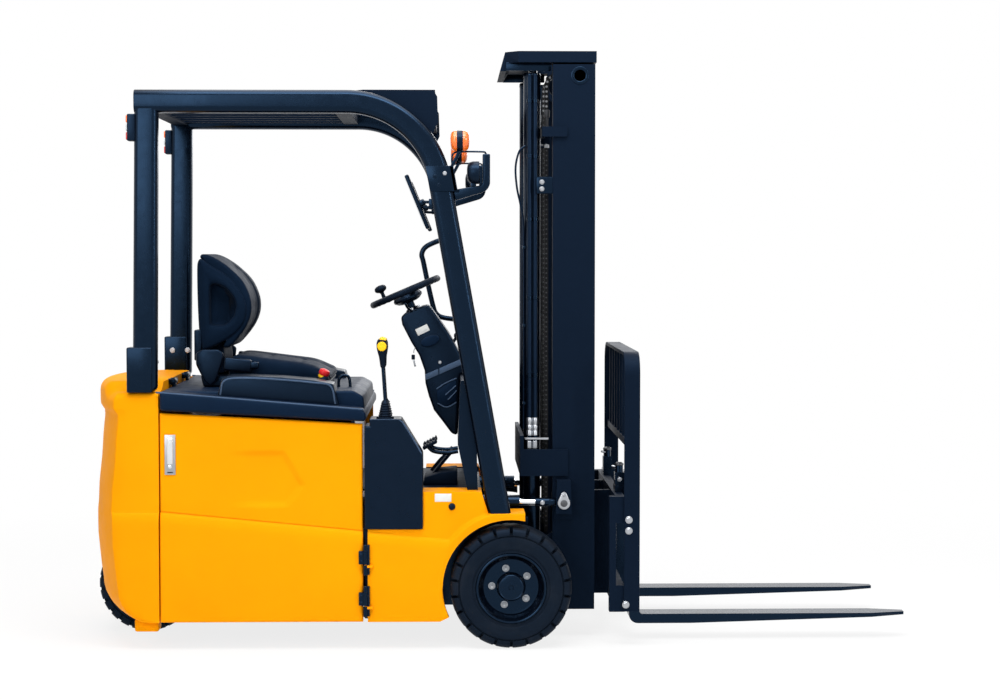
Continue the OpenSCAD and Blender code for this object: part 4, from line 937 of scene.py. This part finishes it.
def levers():
    """Three levers in their boots, and a painted highlight line along the console's edge."""
    kit = Kit("lever_set", "chassis", "black_plastic")
    for y in (-478, -428, -384):
        foot = at(-470, y, 861)
        flange = 24 if y > -470 else 33
        boot = [(flange, 0), (flange, 7)]
        for k in range(6):
            r = 23 - 2.0 * k
            boot += [(r, 8 + 9 * k), (r + 2.5, 12 + 9 * k), (r - 2, 16 + 9 * k)]
        kit.add(lathe(boot + [(8, 66), (6, 70)], foot, UP, 28), GRIP)
        lean = flat(y, [(-469, 910), (-474, 990), (-479, 1066)])
        kit.add(tube([at(*p) for p in lean], 6, 12), BLACK)
        grip = [(7, 0), (10, 6), (13, 40), (17, 58), (20, 74), (20, 92), (16, 104), (7, 109), (0, 110)]
        kit.add(lathe(grip, at(-477, y, 1050), (-0.05, 0, 1), 24), GRIP)
        kit.add(lathe([(16, 0), (17.5, 3), (15, 7), (0, 8)], at(-481, y - 17, 1131), (0, -1, 0), 24), KNOB_YELLOW)
        kit.add(lathe([(14, 0), (13, 6), (8, 9), (0, 10)], at(-479, y, 1152), (0.25, 0, 1), 20), KNOB_YELLOW)
    # a thin light tube along the console's edge: a painted highlight line
    edge = flat(-513.5, [(-524, 859), (-470, 859), (-418, 859), (-404, 850), (-370, 797), (-334, 733)])
    kit.add(tube([at(*p) for p in edge], 2.6, 8), PAINTED_HIGHLIGHT)
    kit.done("control_levers")


def steering_wheel():
    """Rim, three spokes, hub and a mushroom knob, about the leaning column."""
    across = Vector((cos(STEERING_LEAN), 0, sin(STEERING_LEAN)))
    up = Vector((-sin(STEERING_LEAN), 0, cos(STEERING_LEAN)))
    mid = at(-405, 0, 1325)

    def local(x, y, z):
        return mid + across * (x / 1000) + Vector((0, y / 1000, 0)) + up * (z / 1000)

    kit = Kit("steering_wheel_rim", "steering_wheel", "black_plastic")
    rows = []
    for i in range(120):
        a = 2 * pi * i / 120
        row = []
        for k in range(16):
            b = 2 * pi * k / 16
            r = 12.6 + (0.8 * cos(30 * a) if sin(b) < -0.3 else 0)
            q = 137 + r * cos(b)
            row.append(local(q * cos(a), q * sin(a), r * sin(b)))
        rows.append(row)
    kit.add(sheet(rows, close_u=True, close_v=True), GRIP)
    for degrees in (60, 180, 300):
        a = radians(degrees)
        rows = []
        for d, half, z in ((26, 24, 4), (50, 18, 1), (90, 15, -2), (128, 18, -1)):
            ring = [(-half, -7), (half, -7), (half + 1, -2), (half - 3, 3), (-half + 3, 3), (-half - 1, -2)]
            rows.append([local(d * cos(a) - w * sin(a), d * sin(a) + w * cos(a), z + h) for w, h in ring])
        kit.add(sheet(rows, close_u=True), PLASTIC)
    hub = [(21, -22), (21, -46), (30, -46), (44, -42), (58, -32), (60, -24), (54, -14), (40, -9), (38, -6),
           (36, 2), (32, 7), (28, 9), (27, 7.5), (25, 7.5), (24, 10), (12, 12), (0, 12)]
    kit.add(lathe(hub, mid, up, 40), PLASTIC)
    knob = [(8, -6), (8, 18), (7, 26), (9, 33), (20, 38), (24, 43), (25, 49), (22, 56), (14, 61), (0, 63)]
    kit.add(lathe(knob, local(-90, 90, 0), up, 28), GRIP)
    kit.done("steering_wheel")


def column():
    """The column's cover with its shoulders, knee pad, switch boss, band and keys; the band and the pad's creases
    are lighter, as painted highlights.
    """
    kit = Kit("column_cover", "chassis", "black_plastic")
    cover = [(-421, 1227), (-405, 1241), (-336, 1270), (-311, 1275), (-286, 1242), (-231, 1162), (-186, 1077),
             (-166, 1040), (-167, 1001), (-188.6, 1001), (-199.6, 760), (-221, 766), (-258, 816), (-292, 860),
             (-312, 916), (-325, 966), (-328, 1016), (-349, 1076), (-380, 1127), (-416, 1197)]
    kit.add(prism(cover, -COLUMN_Y, COLUMN_Y, 10, 3), PLASTIC)
    up = (-sin(STEERING_LEAN), 0, cos(STEERING_LEAN))
    kit.add(lathe([(30, 0), (30, 14), (24, 20), (16, 24), (16, 62)], at(-370, 0, 1242), up, 28), PLASTIC)
    y = -COLUMN_Y
    for x, z in ((-379, 1252), (-349, 1264)):
        kit.bolt(at(x, -44, z), up, 8, 10)
    kit.add(block((-362, y - 1.5, 1162), (-310, y + 4, 1190), 2, 2, (-26, "Y")), PLATE)
    boss = []
    for i in range(20):
        a = 2 * pi * i / 20
        u, v = 39 * cos(a), 20 * sin(a)
        boss.append((-306 + u * 0.94 - v * 0.34, 1134 + u * 0.34 + v * 0.94))
    kit.add(prism(boss, y - 24, y + 4, 9, 3), SATIN)
    kit.add(lathe([(7, 0), (7, 4), (5, 6), (0, 6)], at(-268, y, 1048), (0, -1, 0), 16), ZINC)
    # the band's lighter material is a painted highlight
    for x0, x1 in ((-326, -274), (-270, -178)):
        z0, z1 = 990 + 0.43 * (x0 + 324), 990 + 0.43 * (x1 + 324)
        band = [(x0, z0 + 12), (x1, z1 + 12), (x1, z1 - 12), (x0, z0 - 12)]
        kit.add(prism(band, y - 5, y + 3, 2), PAINTED_HIGHLIGHT)
        kit.add(prism(band, -y - 3, -y + 5, 2), PAINTED_HIGHLIGHT)
    pad = [(-281, 942), (-240, 968), (-203, 984), (-203, 897), (-240, 874), (-276, 876), (-281, 918)]
    kit.add(prism(pad, y - 7, y + 3, 4, 2), SATIN)
    # the crease lines are light tubes: painted highlights
    creases = (((-281, 944), (-240, 970), (-202, 986)), ((-246, 920), (-222, 942), (-204, 958)),
               ((-236, 902), (-218, 920), (-202, 938)), ((-278, 888), (-241, 872), (-202, 892)))
    for line in creases:
        kit.add(rod(flat(y - 8, line), 2.6, 8, 6), PAINTED_HIGHLIGHT)
    kit.add(lathe([(9, 0), (9, 8), (7, 12), (0, 12)], at(-352, -52, 1112), (-0.87, 0, -0.4), 16), ZINC)
    kit.add(rod(((-364, -52, 1106), (-370, -53, 1096), (-371, -52, 1084)), 1.6, 8), ZINC)
    kit.add(block((-380, -58, 1058), (-366, -50, 1078), 3, 2), GRIP)
    kit.add(block((-372, -56, 1030), (-365, -52, 1060), 1.5, 2, (-14, "Y")), ZINC)
    kit.add(tube([at(-224, 0, 1110), at(-204, 0, 1142)], 6, 10), GRIP)
    kit.add(lathe([(8, -15), (15, -8), (17, 0), (15, 8), (8, 15), (0, 16)], at(-196, 0, 1150), (0.4, 0, 1), 20),
            GRIP)
    kit.add(rod(((-372, -60, 1246), (-392, -92, 1262), (-402, -128, 1280)), 5, 10), GRIP)
    kit.done("steering_column")


def pedals():
    """Pedals on their arms, over the box on the floor."""
    kit = Kit("pedal_set", "chassis", "black_plastic")
    kit.add(prism([(-334, 584), (-322, 616), (-262, 634), (-200, 640), (-200, 584)], -255, -55, 6, 2), MATT)
    kit.add(rod(((-300, -92, 622), (-262, -92, 668), (-222, -92, 704)), 9, 12, 4), BLACK)
    for y0, y1 in ((-250, -190), (-120, -60)):
        kit.add(block((-336, y0, 732), (-276, y1, 744), 3, 2, (-28, "Y")), GRIP)
        for k in range(5):
            x = -328 + 11 * k
            kit.add(block((x - 2, y0 + 5, 729 + 5.8 * k), (x + 3, y1 - 5, 737 + 5.8 * k), 1, 1, (-28, "Y")), GRIP)
        mid = (y0 + y1) / 2
        arm = flat(mid, [(-312, 729), (-290, 712), (-240, 706), (-197, 712)])
        kit.add(rod(arm, 8, 12, 5), BLACK)
    kit.done()


def grab_handle():
    kit = Kit("grab_tube", "chassis", "black_paint")
    line = [(-250, 1538), (-300, 1520), (-334, 1500), (-347, 1472), (-340, 1440), (-322, 1352), (-300, 1256),
            (-288, 1226), (-262, 1208), (-197, 1198)]
    kit.add(rod(flat(GUARD_Y, line), 11, 16, 5), BLACK)
    kit.done("grab_handle")


# Overhead guard, lamps and mirrors


def pillar_front(z):
    """Front edge of the front pillar at a height."""
    return -0.33 - 0.17813 * (z - PILLAR_FOOT_Z)


def guard(side, name):
    """One side of the overhead guard: the rail bent down into the front pillar, the rear pillar and its foot."""
    kit = Kit(name + "_guard_tubes", "chassis", "black_paint")
    half_h, half_w, round_r = 43, GUARD_HALF, 25
    lean, bend_r, rail_z = radians(10.1), 350, 2037
    foot_x, foot_z = -44, PILLAR_FOOT_Z
    bend_end_z = rail_z - bend_r * (1 - sin(lean))
    bend_x = foot_x - (bend_end_z - foot_z) * tan(lean) - bend_r * cos(lean)
    turns = [pi / 2 + (lean - pi / 2) * i / 28 for i in range(29)]
    line = [(x, rail_z, pi / 2) for x in (-1390, -1388, -1100, -900)]
    line += [(bend_x + bend_r * cos(a), rail_z - bend_r + bend_r * sin(a), a) for a in turns]
    line += [(foot_x - (z - foot_z) * tan(lean), z, lean) for z in (1400, 900, 560)]
    ring = []
    for u, v, start in ((1, 1, 0), (-1, 1, 90), (-1, -1, 180), (1, -1, 270)):
        for k in range(7):
            p, q = polar(round_r, start + 15 * k)
            ring.append((u * (half_h - round_r) + p, v * (half_w - round_r) + q))
    rows = []
    for i, (x, z, a) in enumerate(line):
        small = 0.97 if i == 0 else 1
        rows.append([at(x + u * small * cos(a), side * (GUARD_Y + v * small), z + u * small * sin(a)) for u,
                     v in ring])
    skew = cos(lean) + sin(lean) * tan(lean)
    rows.append([at(foot_x + u * skew, side * (GUARD_Y + v), foot_z) for u, v in ring])
    kit.add(capped(rows), BLACK)
    rear = WEIGHT_FRONT - 50
    inner, outer = side * (GUARD_Y - half_w), side * (GUARD_Y + half_w - 2)
    pillar = [(rear - 45, 963), (rear - 30, 2030), (rear + 58, 2030), (rear + 46, 963)]
    kit.add(prism(pillar, inner, outer, 22, 6), BLACK)
    foot = [(rear - 64, 961), (rear - 64, 1129), (rear + 30, 1129), (rear + 30, 961)]
    kit.add(prism(foot, inner - side * 4, outer + side * 6, 6, 3), BLACK)
    kit.done("guard_frame_" + name)


def signal_lamps():
    """A double-faced lamp on each front pillar."""
    kit = Kit("signal_lamp_lenses", "chassis", "amber_lens")
    dome = [(37.5, 9), (38.5, 12), (37.5, 21), (33, 29), (24, 33.5), (10, 35), (0, 35)]
    band = [(30, -12), (38, -12), (39, -10), (39, 10), (38, 12), (30, 12)]
    for side in (-1, 1):
        middle = at(-190, side * GUARD_Y, 1893)
        for way in (-1, 1):
            kit.add(lathe(dome, middle, (way, 0, 0), 44), AMBER)
        kit.add(lathe(band, middle, (1, 0, 0), 44), PLASTIC)
        kit.add(lathe([(9, 0), (9, 10), (7, 12), (0, 12)], at(-190, side * GUARD_Y, 1848), UP, 18), PLASTIC)
    kit.done("signal_lamps")


def headlamps():
    """A clamp on each front pillar, and on it a bar bent round the lamp."""
    kit = Kit("headlamp_bodies", "chassis", "black_plastic")
    upper, lower = pillar_front(1800), pillar_front(1705)
    clamp = [(upper - 87, 1800), (upper + 16, 1800), (lower + 16, 1705), (lower - 87, 1705)]
    tab = [(upper + 1, 1800), (upper + 16, 1800), (lower + 16, 1705), (lower + 1, 1705)]
    bar = [(pillar_front(1712), 1712), (pillar_front(1672), 1672)]
    bar += [(-120 + x, 1742 + z) for x, z in (polar(42, a) for a in range(285, 361, 9))]
    bar += [(-78, 1845), (-106, 1845)]
    bar += [(-120 + x, 1742 + z) for x, z in (polar(14, a) for a in range(360, 284, -15))]
    stem = [(pillar_front(1796) + 2, 1796), (pillar_front(1796) + 15, 1796), (-182, 1856), (-198, 1856)]
    cup = [(16, 0), (30, 3), (38, 10), (42, 22), (43, 34), (43, 44), (40.5, 46), (37.5, 43)]
    glass = [(38, 41), (30, 43.5), (14, 45), (0, 45.5)]
    for side in (-1, 1):
        y = side * GUARD_Y
        out = side * (GUARD_Y + GUARD_HALF)
        kit.add(prism(clamp, out + side * 0.3, out + side * 9, 3, 2), BLACK)
        kit.add(prism(tab, y - side * 26, out + side * 9, 2, 2), BLACK)
        for x, z, mat in ((-282, 1760, BLACK), (-268, 1728, BLACK), (-246, 1772, ZINC)):
            kit.bolt(at(x, out + side * 9, z), (0, side, 0), 6, 4.5, mat)
        kit.add(prism(bar, y - 13, y + 13, 5, 3), BLACK)
        wire = flat(y, [(-92, 1840), (-96, 1850), (-110, 1853), (-190, 1853), (-214, 1846), (-220, 1826),
                        (-218, 1798)])
        kit.add(rod(wire, 3.5, 10, 5), BLACK)
        kit.add(block((-150, y - 10, 1714), (-132, y + 10, 1742), 3), BLACK)
        kit.add(prism(stem, y - 8, y + 8, 2), BLACK)
        kit.add(lathe(cup, at(-164, y, 1776), (1, 0, 0), 44), PLASTIC)
        kit.add(lathe(glass, at(-164, y, 1776), (1, 0, 0), 44), CLEAR)
    kit.done("headlamps")


def rear_lamps():
    kit = Kit("rear_lamp_lenses", "chassis", "red_lens")
    for side in (-1, 1):
        y = side * GUARD_Y
        kit.add(block((-1416, y - 24, 1890), (-1386, y + 24, 1990), 5, 3), PLASTIC)
        for z0, z1, mat in ((1958, 1986, AMBER), (1926, 1955, CLEAR), (1894, 1923, RED_LENS)):
            kit.add(block((-1421, y - 20, z0), (-1412, y + 20, z1), 4, 3), mat)
    kit.done("rear_lamps")


def mirrors():
    """A mirror inside each front pillar, on two stems."""
    kit = Kit("mirror_heads", "chassis", "black_plastic")
    shell = [(-398, 1766), (-383, 1772), (-301, 1572), (-316, 1566)]
    pane = [(-395.6, 1752), (-390, 1753.8), (-319, 1580), (-324.6, 1578)]
    for side in (-1, 1):
        inner = side * (GUARD_Y - GUARD_HALF)
        kit.add(prism(shell, inner - side * 160, inner - side * 12, 5, 3), PLASTIC)
        kit.add(prism(pane, inner - side * 151, inner - side * 21, 0), MIRROR)
        kit.add(lathe([(13, 0), (13, 22), (10, 25)], at(-344, inner - side * 32, 1660), (0.92, 0, 0.38), 20),
                BLACK)
        for z in (1648, 1668):
            stem = [(-336, inner - side * 30, z + 2), (-318, inner - side * 18, z), (-290, inner - side * 3, z)]
            kit.add(rod(stem, 6, 10), BLACK)
        kit.add(block((-306, inner - side * 8, 1640), (-268, inner - side * 0.2, 1680), 3), BLACK)
    kit.done("mirrors")


# Mast


def chains():
    """Leaf chain: rows of plates on pins, along both strands and over the sheave."""
    pitch, low_rear, low_front = 19.05, 390, 300
    top_z, sheave_r = 2122, 52
    plate = [(9.5 * cos(radians(a)) * 0.84, (pitch / 2 if 0 <= a <= 180 else -pitch / 2) + 7.6 * sin(radians(a)))
             for a in (10, 55, 90, 125, 170, 190, 235, 270, 305, 350)]
    kit = Kit("chain_links", "inner_mast", "dark_steel")
    for side in (-1, 1):
        y = side * CHAIN_Y
        rear = top_z - low_rear
        over = pi * sheave_r
        front = top_z - low_front
        count = int((rear + over + front) / pitch)
        for i in range(count):
            s = (i + 0.5) * pitch
            if s < rear:
                x, z, t = 148, low_rear + s, 0.0
            elif s < rear + over:
                t = (s - rear) / sheave_r
                x, z = 200 - sheave_r * cos(t), top_z + sheave_r * sin(t)
            else:
                x, z, t = 252, top_z - (s - rear - over), pi
            c, n = cos(t), sin(t)
            for dy in (-9.2, -3.1, 3.1, 9.2) if i % 2 else (-6.2, 0, 6.2):
                rows = [[at(x + a * c + b * n, y + dy + e, z - a * n + b * c) for a, b in plate]
                        for e in (-1.3, 1.3)]
                kit.add(capped(rows), CHAIN)
            # pins over the top of the sheave are drawn bigger and in zinc: painted glints where the top light
            # falls
            painted_glint = s < rear + over / 2 and z > 2032
            r = 4.6 if painted_glint else 3.4
            pin = at(x + pitch / 2 * n, y - 11, z + pitch / 2 * c)
            kit.add(lathe([(r, 0), (r, 22)], pin, (0, 1, 0), 8), ZINC if painted_glint else STEEL)
    kit.done("lift_chains", fix=False)


def hoses():
    """Two lift hoses with their fittings and clips, and a cable behind them."""
    kit = Kit("hose_run", "outer_mast", "hose_rubber")
    clips = (1000, 1300, 1600, 1840, 2050)
    y = -264
    for x in (77, 99):
        line = [(x, y, z) for z in (645, 900, 1400, 1840, 2154)]
        kit.add(rod(line, 10, 16, 5), HOSE)
        kit.add(lathe([(10, 0), (10, 4), (9, 8), (6, 11), (0, 12)], at(x, y, 2152), UP, 16), HOSE)
        sleeve = [(9, 0), (12, 2), (12, 18), (10.5, 20), (12, 24), (12, 40), (10.5, 42), (12, 46), (12, 66),
                  (10, 70)]
        kit.add(lathe(sleeve, at(x, y, 776), UP, 20), ZINC)
        kit.add(lathe([(13, 0), (13, 26), (11, 28), (9, 30)], at(x, y, 728), UP, 6), ZINC)
        kit.add(lathe([(9.5, 0), (9.5, 16)], at(x, y, 760), UP, 20), ZINC)
        for z in clips:
            kit.add(lathe([(9, 0), (11.5, 1), (11.5, 15), (9, 16)], at(x, y, z), UP, 16), BLACK)
    for z in clips:
        kit.add(block((66, -256, z - 2), (110, -248, z + 18), 2), BLACK)
    kit.add(block((58, -284, 762), (150, -280, 770), 1.5), ZINC)
    cable = [(62, -252, 1888), (38, -254, 1866), (24, -255, 1806), (29, -254, 1730), (42, -249, 1668),
             (54, -243, 1600), (56, -241, 1500), (56, -241, 1200), (56, -241, 800)]
    kit.add(rod(cable, 4, 10, 6), HOSE)
    for z in (1500, 1200, 900):
        kit.add(block((51, -247, z - 6), (66, -236, z + 6), 2), BLACK)
    kit.done("mast_hoses")


def mast_fasteners():
    """On the outer mast: tilt pins, rail clamps, chain ends, rod glands and a plate on the left rail."""
    kit = Kit("mast_fasteners", "outer_mast", "black_paint")
    for side in (-1, 1):
        out = side * RAIL_OUT
        drop = [(14 * cos(radians(a)) * 1.7 + 205, ROD_Z + 24 * sin(radians(a))) for a in range(150, 391, 20)]
        drop += [(214, 566), (205, 572), (196, 566)]
        kit.add(prism(drop, side * 362, side * 373.5, 2), ZINC)
        kit.add(lathe([(13.5, 0), (13.5, 2.5), (11, 4), (0, 4)], at(205, side * 373, ROD_Z), (0, side, 0), 28),
                STEEL)
        kit.bolt(at(205, side * 373, 558), (0, side, 0), 5, 4)
        kit.add(lathe([(11, 0), (11, 10), (9, 12)], at(130, side * CHAIN_Y, 1906), (0, 0, -1), 6), ZINC)
        for dy in (-21, 21):
            kit.bolt(at(160, side * CHAIN_Y + dy, 1942), (1, 0, 0), 5, 4)
        kit.add(block((102, out - side * 14, 1704), (168, out - side * 2, 1768), 3), BLACK)
        for z in (1722, 1748):
            kit.bolt(at(123, out - side * 2, z), (0, side, 0), 7.5, 6)
        # chain clevis with its threaded rod and nut
        anchor = side * 140
        kit.add(block((138, anchor - 6, 2002), (160, anchor + 6, 2034), 4, 2), STEEL)
        kit.add(tube([at(149, anchor, 1886), at(149, anchor, 2010)], 5, 12), STEEL)
        kit.add(lathe([(9, 0), (9, 12), (7, 14)], at(149, anchor, 1886), UP, 6), ZINC)
        # gland round the lift rod
        ring = [2 * pi * i / 36 for i in range(36)]
        rows = [[at(88 + r * cos(a), side * 222 + r * sin(a), z) for a in ring] for r,
                z in ((21, 2149), (34, 2149), (34, 2160), (31, 2166), (21, 2166))]
        kit.add(sheet(rows, close_u=True, close_v=True), BLACK)
        eye = [(34, 0), (34, 2), (31, 3), (24, 3), (22.2, 2), (22.2, 0)]
        kit.add(lathe(eye, at(267.5, out, 2152), (0, side, 0), 40), BLACK)
    kit.add(block((123, 257, 650), (167, 263, 2164), 2), BLACK)
    kit.done()


def frame_trim():
    """Cheeks on the crosshead, and the bolts of the guard's feet and the load backrest."""
    kit = Kit("crosshead_cheeks", "inner_mast", "black_paint")
    for side in (-1, 1):
        kit.add(prism([(-13, 2204), (-13, 2172), (158, 2172), (158, 2204)], side * 258, side * 264, 2), BLACK)
    kit.done()
    kit = Kit("guard_foot_bolts", "chassis", "bright_steel")
    for side in (-1, 1):
        for x in (-1389, -1326):
            kit.bolt(at(x, side * (GUARD_Y - 38), 1072), (0, -side, 0), 9, 7)
    kit.done()
    kit = Kit("backrest_bolts", "carriage", "bright_steel")
    for side in (-1, 1):
        for x, z in ((442, 479), (442, 438), (431, 159)):
            kit.bolt(at(x, side * 492, z), (0, side, 0), 11, 8)
    kit.done()


def rod_ends_and_latches():
    for side, name in SIDES:
        kit = Kit(name + "_rod_end", "tilt_rod_" + name, "black_paint")
        sleeve = [(14.2, 0), (17, 1), (17.5, 3), (17.5, 50), (16.5, 56), (14.8, 62), (14.8, 80), (14.2, 82)]
        kit.add(lathe(sleeve, at(96, side * 332, ROD_Z), (1, 0, 0), 28), BLACK)
        kit.bolt(at(124, side * 348.5, ROD_Z), (0, side, 0), 7, 6)
        kit.done()
        kit = Kit(name + "_latch_handle", "fork_" + name, "bright_steel")
        y = side * 298
        kit.add(lathe([(15, 0), (17, 2), (17, 8), (12, 12), (0, 13)], at(421, y, 664), UP, 24), STEEL)
        kit.add(rod(((421, y, 655), (409, y - side * 12, 657), (396, y - side * 20, 660)), 4.5, 10, 4), ZINC)
        kit.bolt(at(421, y + side * 22, 612), (0, side, 0), 7, 5)
        kit.done()


# The solids that stay: their materials and softened edges


KEPT = {
    "chassis_frame": (BLACK, 2.0), "battery_block": (BATTERY, 4.0), "front_axle": (STEEL, 2.0),
    "floor_plate": (MATT, 1.5), "front_cowl": (PLASTIC, 8.0), "lever_console": (PLASTIC, 7.0),
    "guard_roof": (MATT, 4.0), "tow_pin": (ZINC, 1.5), "steer_turret": (STEEL, 2.0), "outer_mast": (MATT, 2.5),
    "lift_barrels": (BLACK, 1.5), "inner_mast": (MATT, 3.0), "lift_rods": (CHROME, 1.0),
    "carriage": (MATT, 3.0), "load_backrest": (MATT, 3.0),
}
for _, name in SIDES:
    KEPT["front_panel_" + name] = (YELLOW, 5.0)
    KEPT[name + "_fork"] = (BLACK, 4.0)
    KEPT[name + "_tilt_barrel"] = (BLACK, 2.0)
    KEPT[name + "_tilt_rod"] = (CHROME, 1.5)


def dress(name, mat, width):
    """Gives a solid its material and rounds its edges by width."""
    node = nodes[name]
    node.data.materials.clear()
    node.data.materials.append(mat)
    weld = node.modifiers.new("weld", "WELD")
    weld.merge_threshold = 0.00005
    soft = node.modifiers.new("soft", "BEVEL")
    soft.width = width / 1000
    soft.segments = 4
    soft.limit_method = "ANGLE"
    soft.angle_limit = radians(28)
    soft.use_clamp_overlap = True


# Floor, light and camera


def stage():
    """The floor and the world, both white where they are seen."""
    mesh = bpy.data.meshes.new("floor")
    s = 40.0
    mesh.from_pydata([(-s, -s, 0), (s, -s, 0), (s, s, 0), (-s, s, 0)], [], [(0, 1, 2, 3)])
    floor = bpy.data.objects.new("floor", mesh)
    scene.collection.objects.link(floor)
    floor.location.z = -0.001
    mat = bpy.data.materials.new("floor")
    mat.use_nodes = True
    tree = mat.node_tree
    tree.nodes.clear()
    # near the truck the white is mixed with plain floor, which keeps the shadow
    place = put(tree, "NewGeometry")["Position"]
    far = put(tree, "VectorMath", {0: place}, operation="LENGTH")["Value"]
    fade = ramp(tree, far, 1.5, 4.5, 0.82, 1.0, interpolation_type="SMOOTHSTEP")
    share = put(tree, "Math", {0: seen_rays(tree), 1: fade}, operation="MULTIPLY")[0]
    plain = put(tree, "BsdfDiffuse", {"Color": (0.86, 0.86, 0.86, 1)})[0]
    white = put(tree, "Emission", {"Color": (1, 1, 1, 1), "Strength": 1.0})[0]
    put(tree, "OutputMaterial", {"Surface": put(tree, "MixShader", {0: share, 1: plain, 2: white})[0]})
    mesh.materials.append(mat)
    scene.world = world = bpy.data.worlds.new("studio")
    world.use_nodes = True
    tree = world.node_tree
    level = ramp(tree, seen_rays(tree), 0.0, 1.0, 0.24, 1.0)
    fill(tree, tree.nodes["Background"], {"Color": (1, 1, 1, 1), "Strength": level})


def seen_rays(tree):
    """1 for camera, mirror and glass rays, which see the plain white studio."""
    rays = put(tree, "LightPath")
    total = rays["Is Camera Ray"]
    for name in ("Is Glossy Ray", "Is Transmission Ray"):
        total = put(tree, "Math", {0: total, 1: rays[name]}, operation="MAXIMUM")[0]
    return total


def lamp(name, place, aim, size, watts):
    """A soft box at a place, turned to a point."""
    data = bpy.data.lights.new(name, "AREA")
    data.shape = "RECTANGLE"
    data.size, data.size_y = size
    data.energy = watts
    ob = bpy.data.objects.new(name, data)
    scene.collection.objects.link(ob)
    ob.location = place
    ob.rotation_mode = "QUATERNION"
    ob.rotation_quaternion = (Vector(aim) - Vector(place)).to_track_quat("-Z", "Y")


def camera():
    """The photograph's view: level with the seat, a little down and to the front."""
    focal = 1981.0
    data = bpy.data.cameras.new("camera")
    data.sensor_fit = "HORIZONTAL"
    data.sensor_width = 36.0
    data.lens = 36.0 * focal / 1000.0
    cam = bpy.data.objects.new("camera", data)
    scene.collection.objects.link(cam)
    cam.location = (-0.174, -7.86, 1.476)
    look = Vector((47.5, focal, -96.5))
    cam.rotation_mode = "QUATERNION"
    cam.rotation_quaternion = look.to_track_quat("-Z", "Y")
    scene.camera = cam


camera()
stage()
lamp("top", (-0.3, -0.6, 5.2), (0, 0, 0.6), (5.0, 4.0), 205)
lamp("strip", (-0.4, -2.2, 4.4), (-0.2, 0, 0.8), (4.0, 1.2), 112)
lamp("front", (-3.4, -6.0, 3.2), (-0.3, 0, 0.9), (4.0, 3.0), 140)
lamp("side", (3.8, -4.0, 2.6), (0.1, 0, 1.3), (0.35, 3.0), 60)
lamp("back", (1.5, 5.0, 3.6), (0, 0, 1.0), (4.0, 3.0), 130)

for node_name, (mat, width) in KEPT.items():
    dress(node_name, mat, width)
for side, name in SIDES:
    front_wheel(side, name)
    guard(side, name)
    door(side, name)
    front_skin(side, name)
    panel = nodes["front_panel_" + name].data
    panel.materials.append(PLASTIC)
    for face in panel.polygons:
        face.material_index = int(face.normal.y * side < -0.5)
    eye = nodes[name + "_tilt_rod"].data
    eye.materials.append(BLACK)
    for face in eye.polygons:
        face.material_index = int(face.center.x > at(170, 0, 0).x)
rear_wheels()
counterweight()
hood()
stop_button()
cushion()
backrest()
seat_trim()
levers()
steering_wheel()
column()
pedals()
grab_handle()
signal_lamps()
headlamps()
rear_lamps()
mirrors()
chains()
hoses()
mast_fasteners()
frame_trim()
rod_ends_and_latches()

scene.view_settings.view_transform = "Standard"
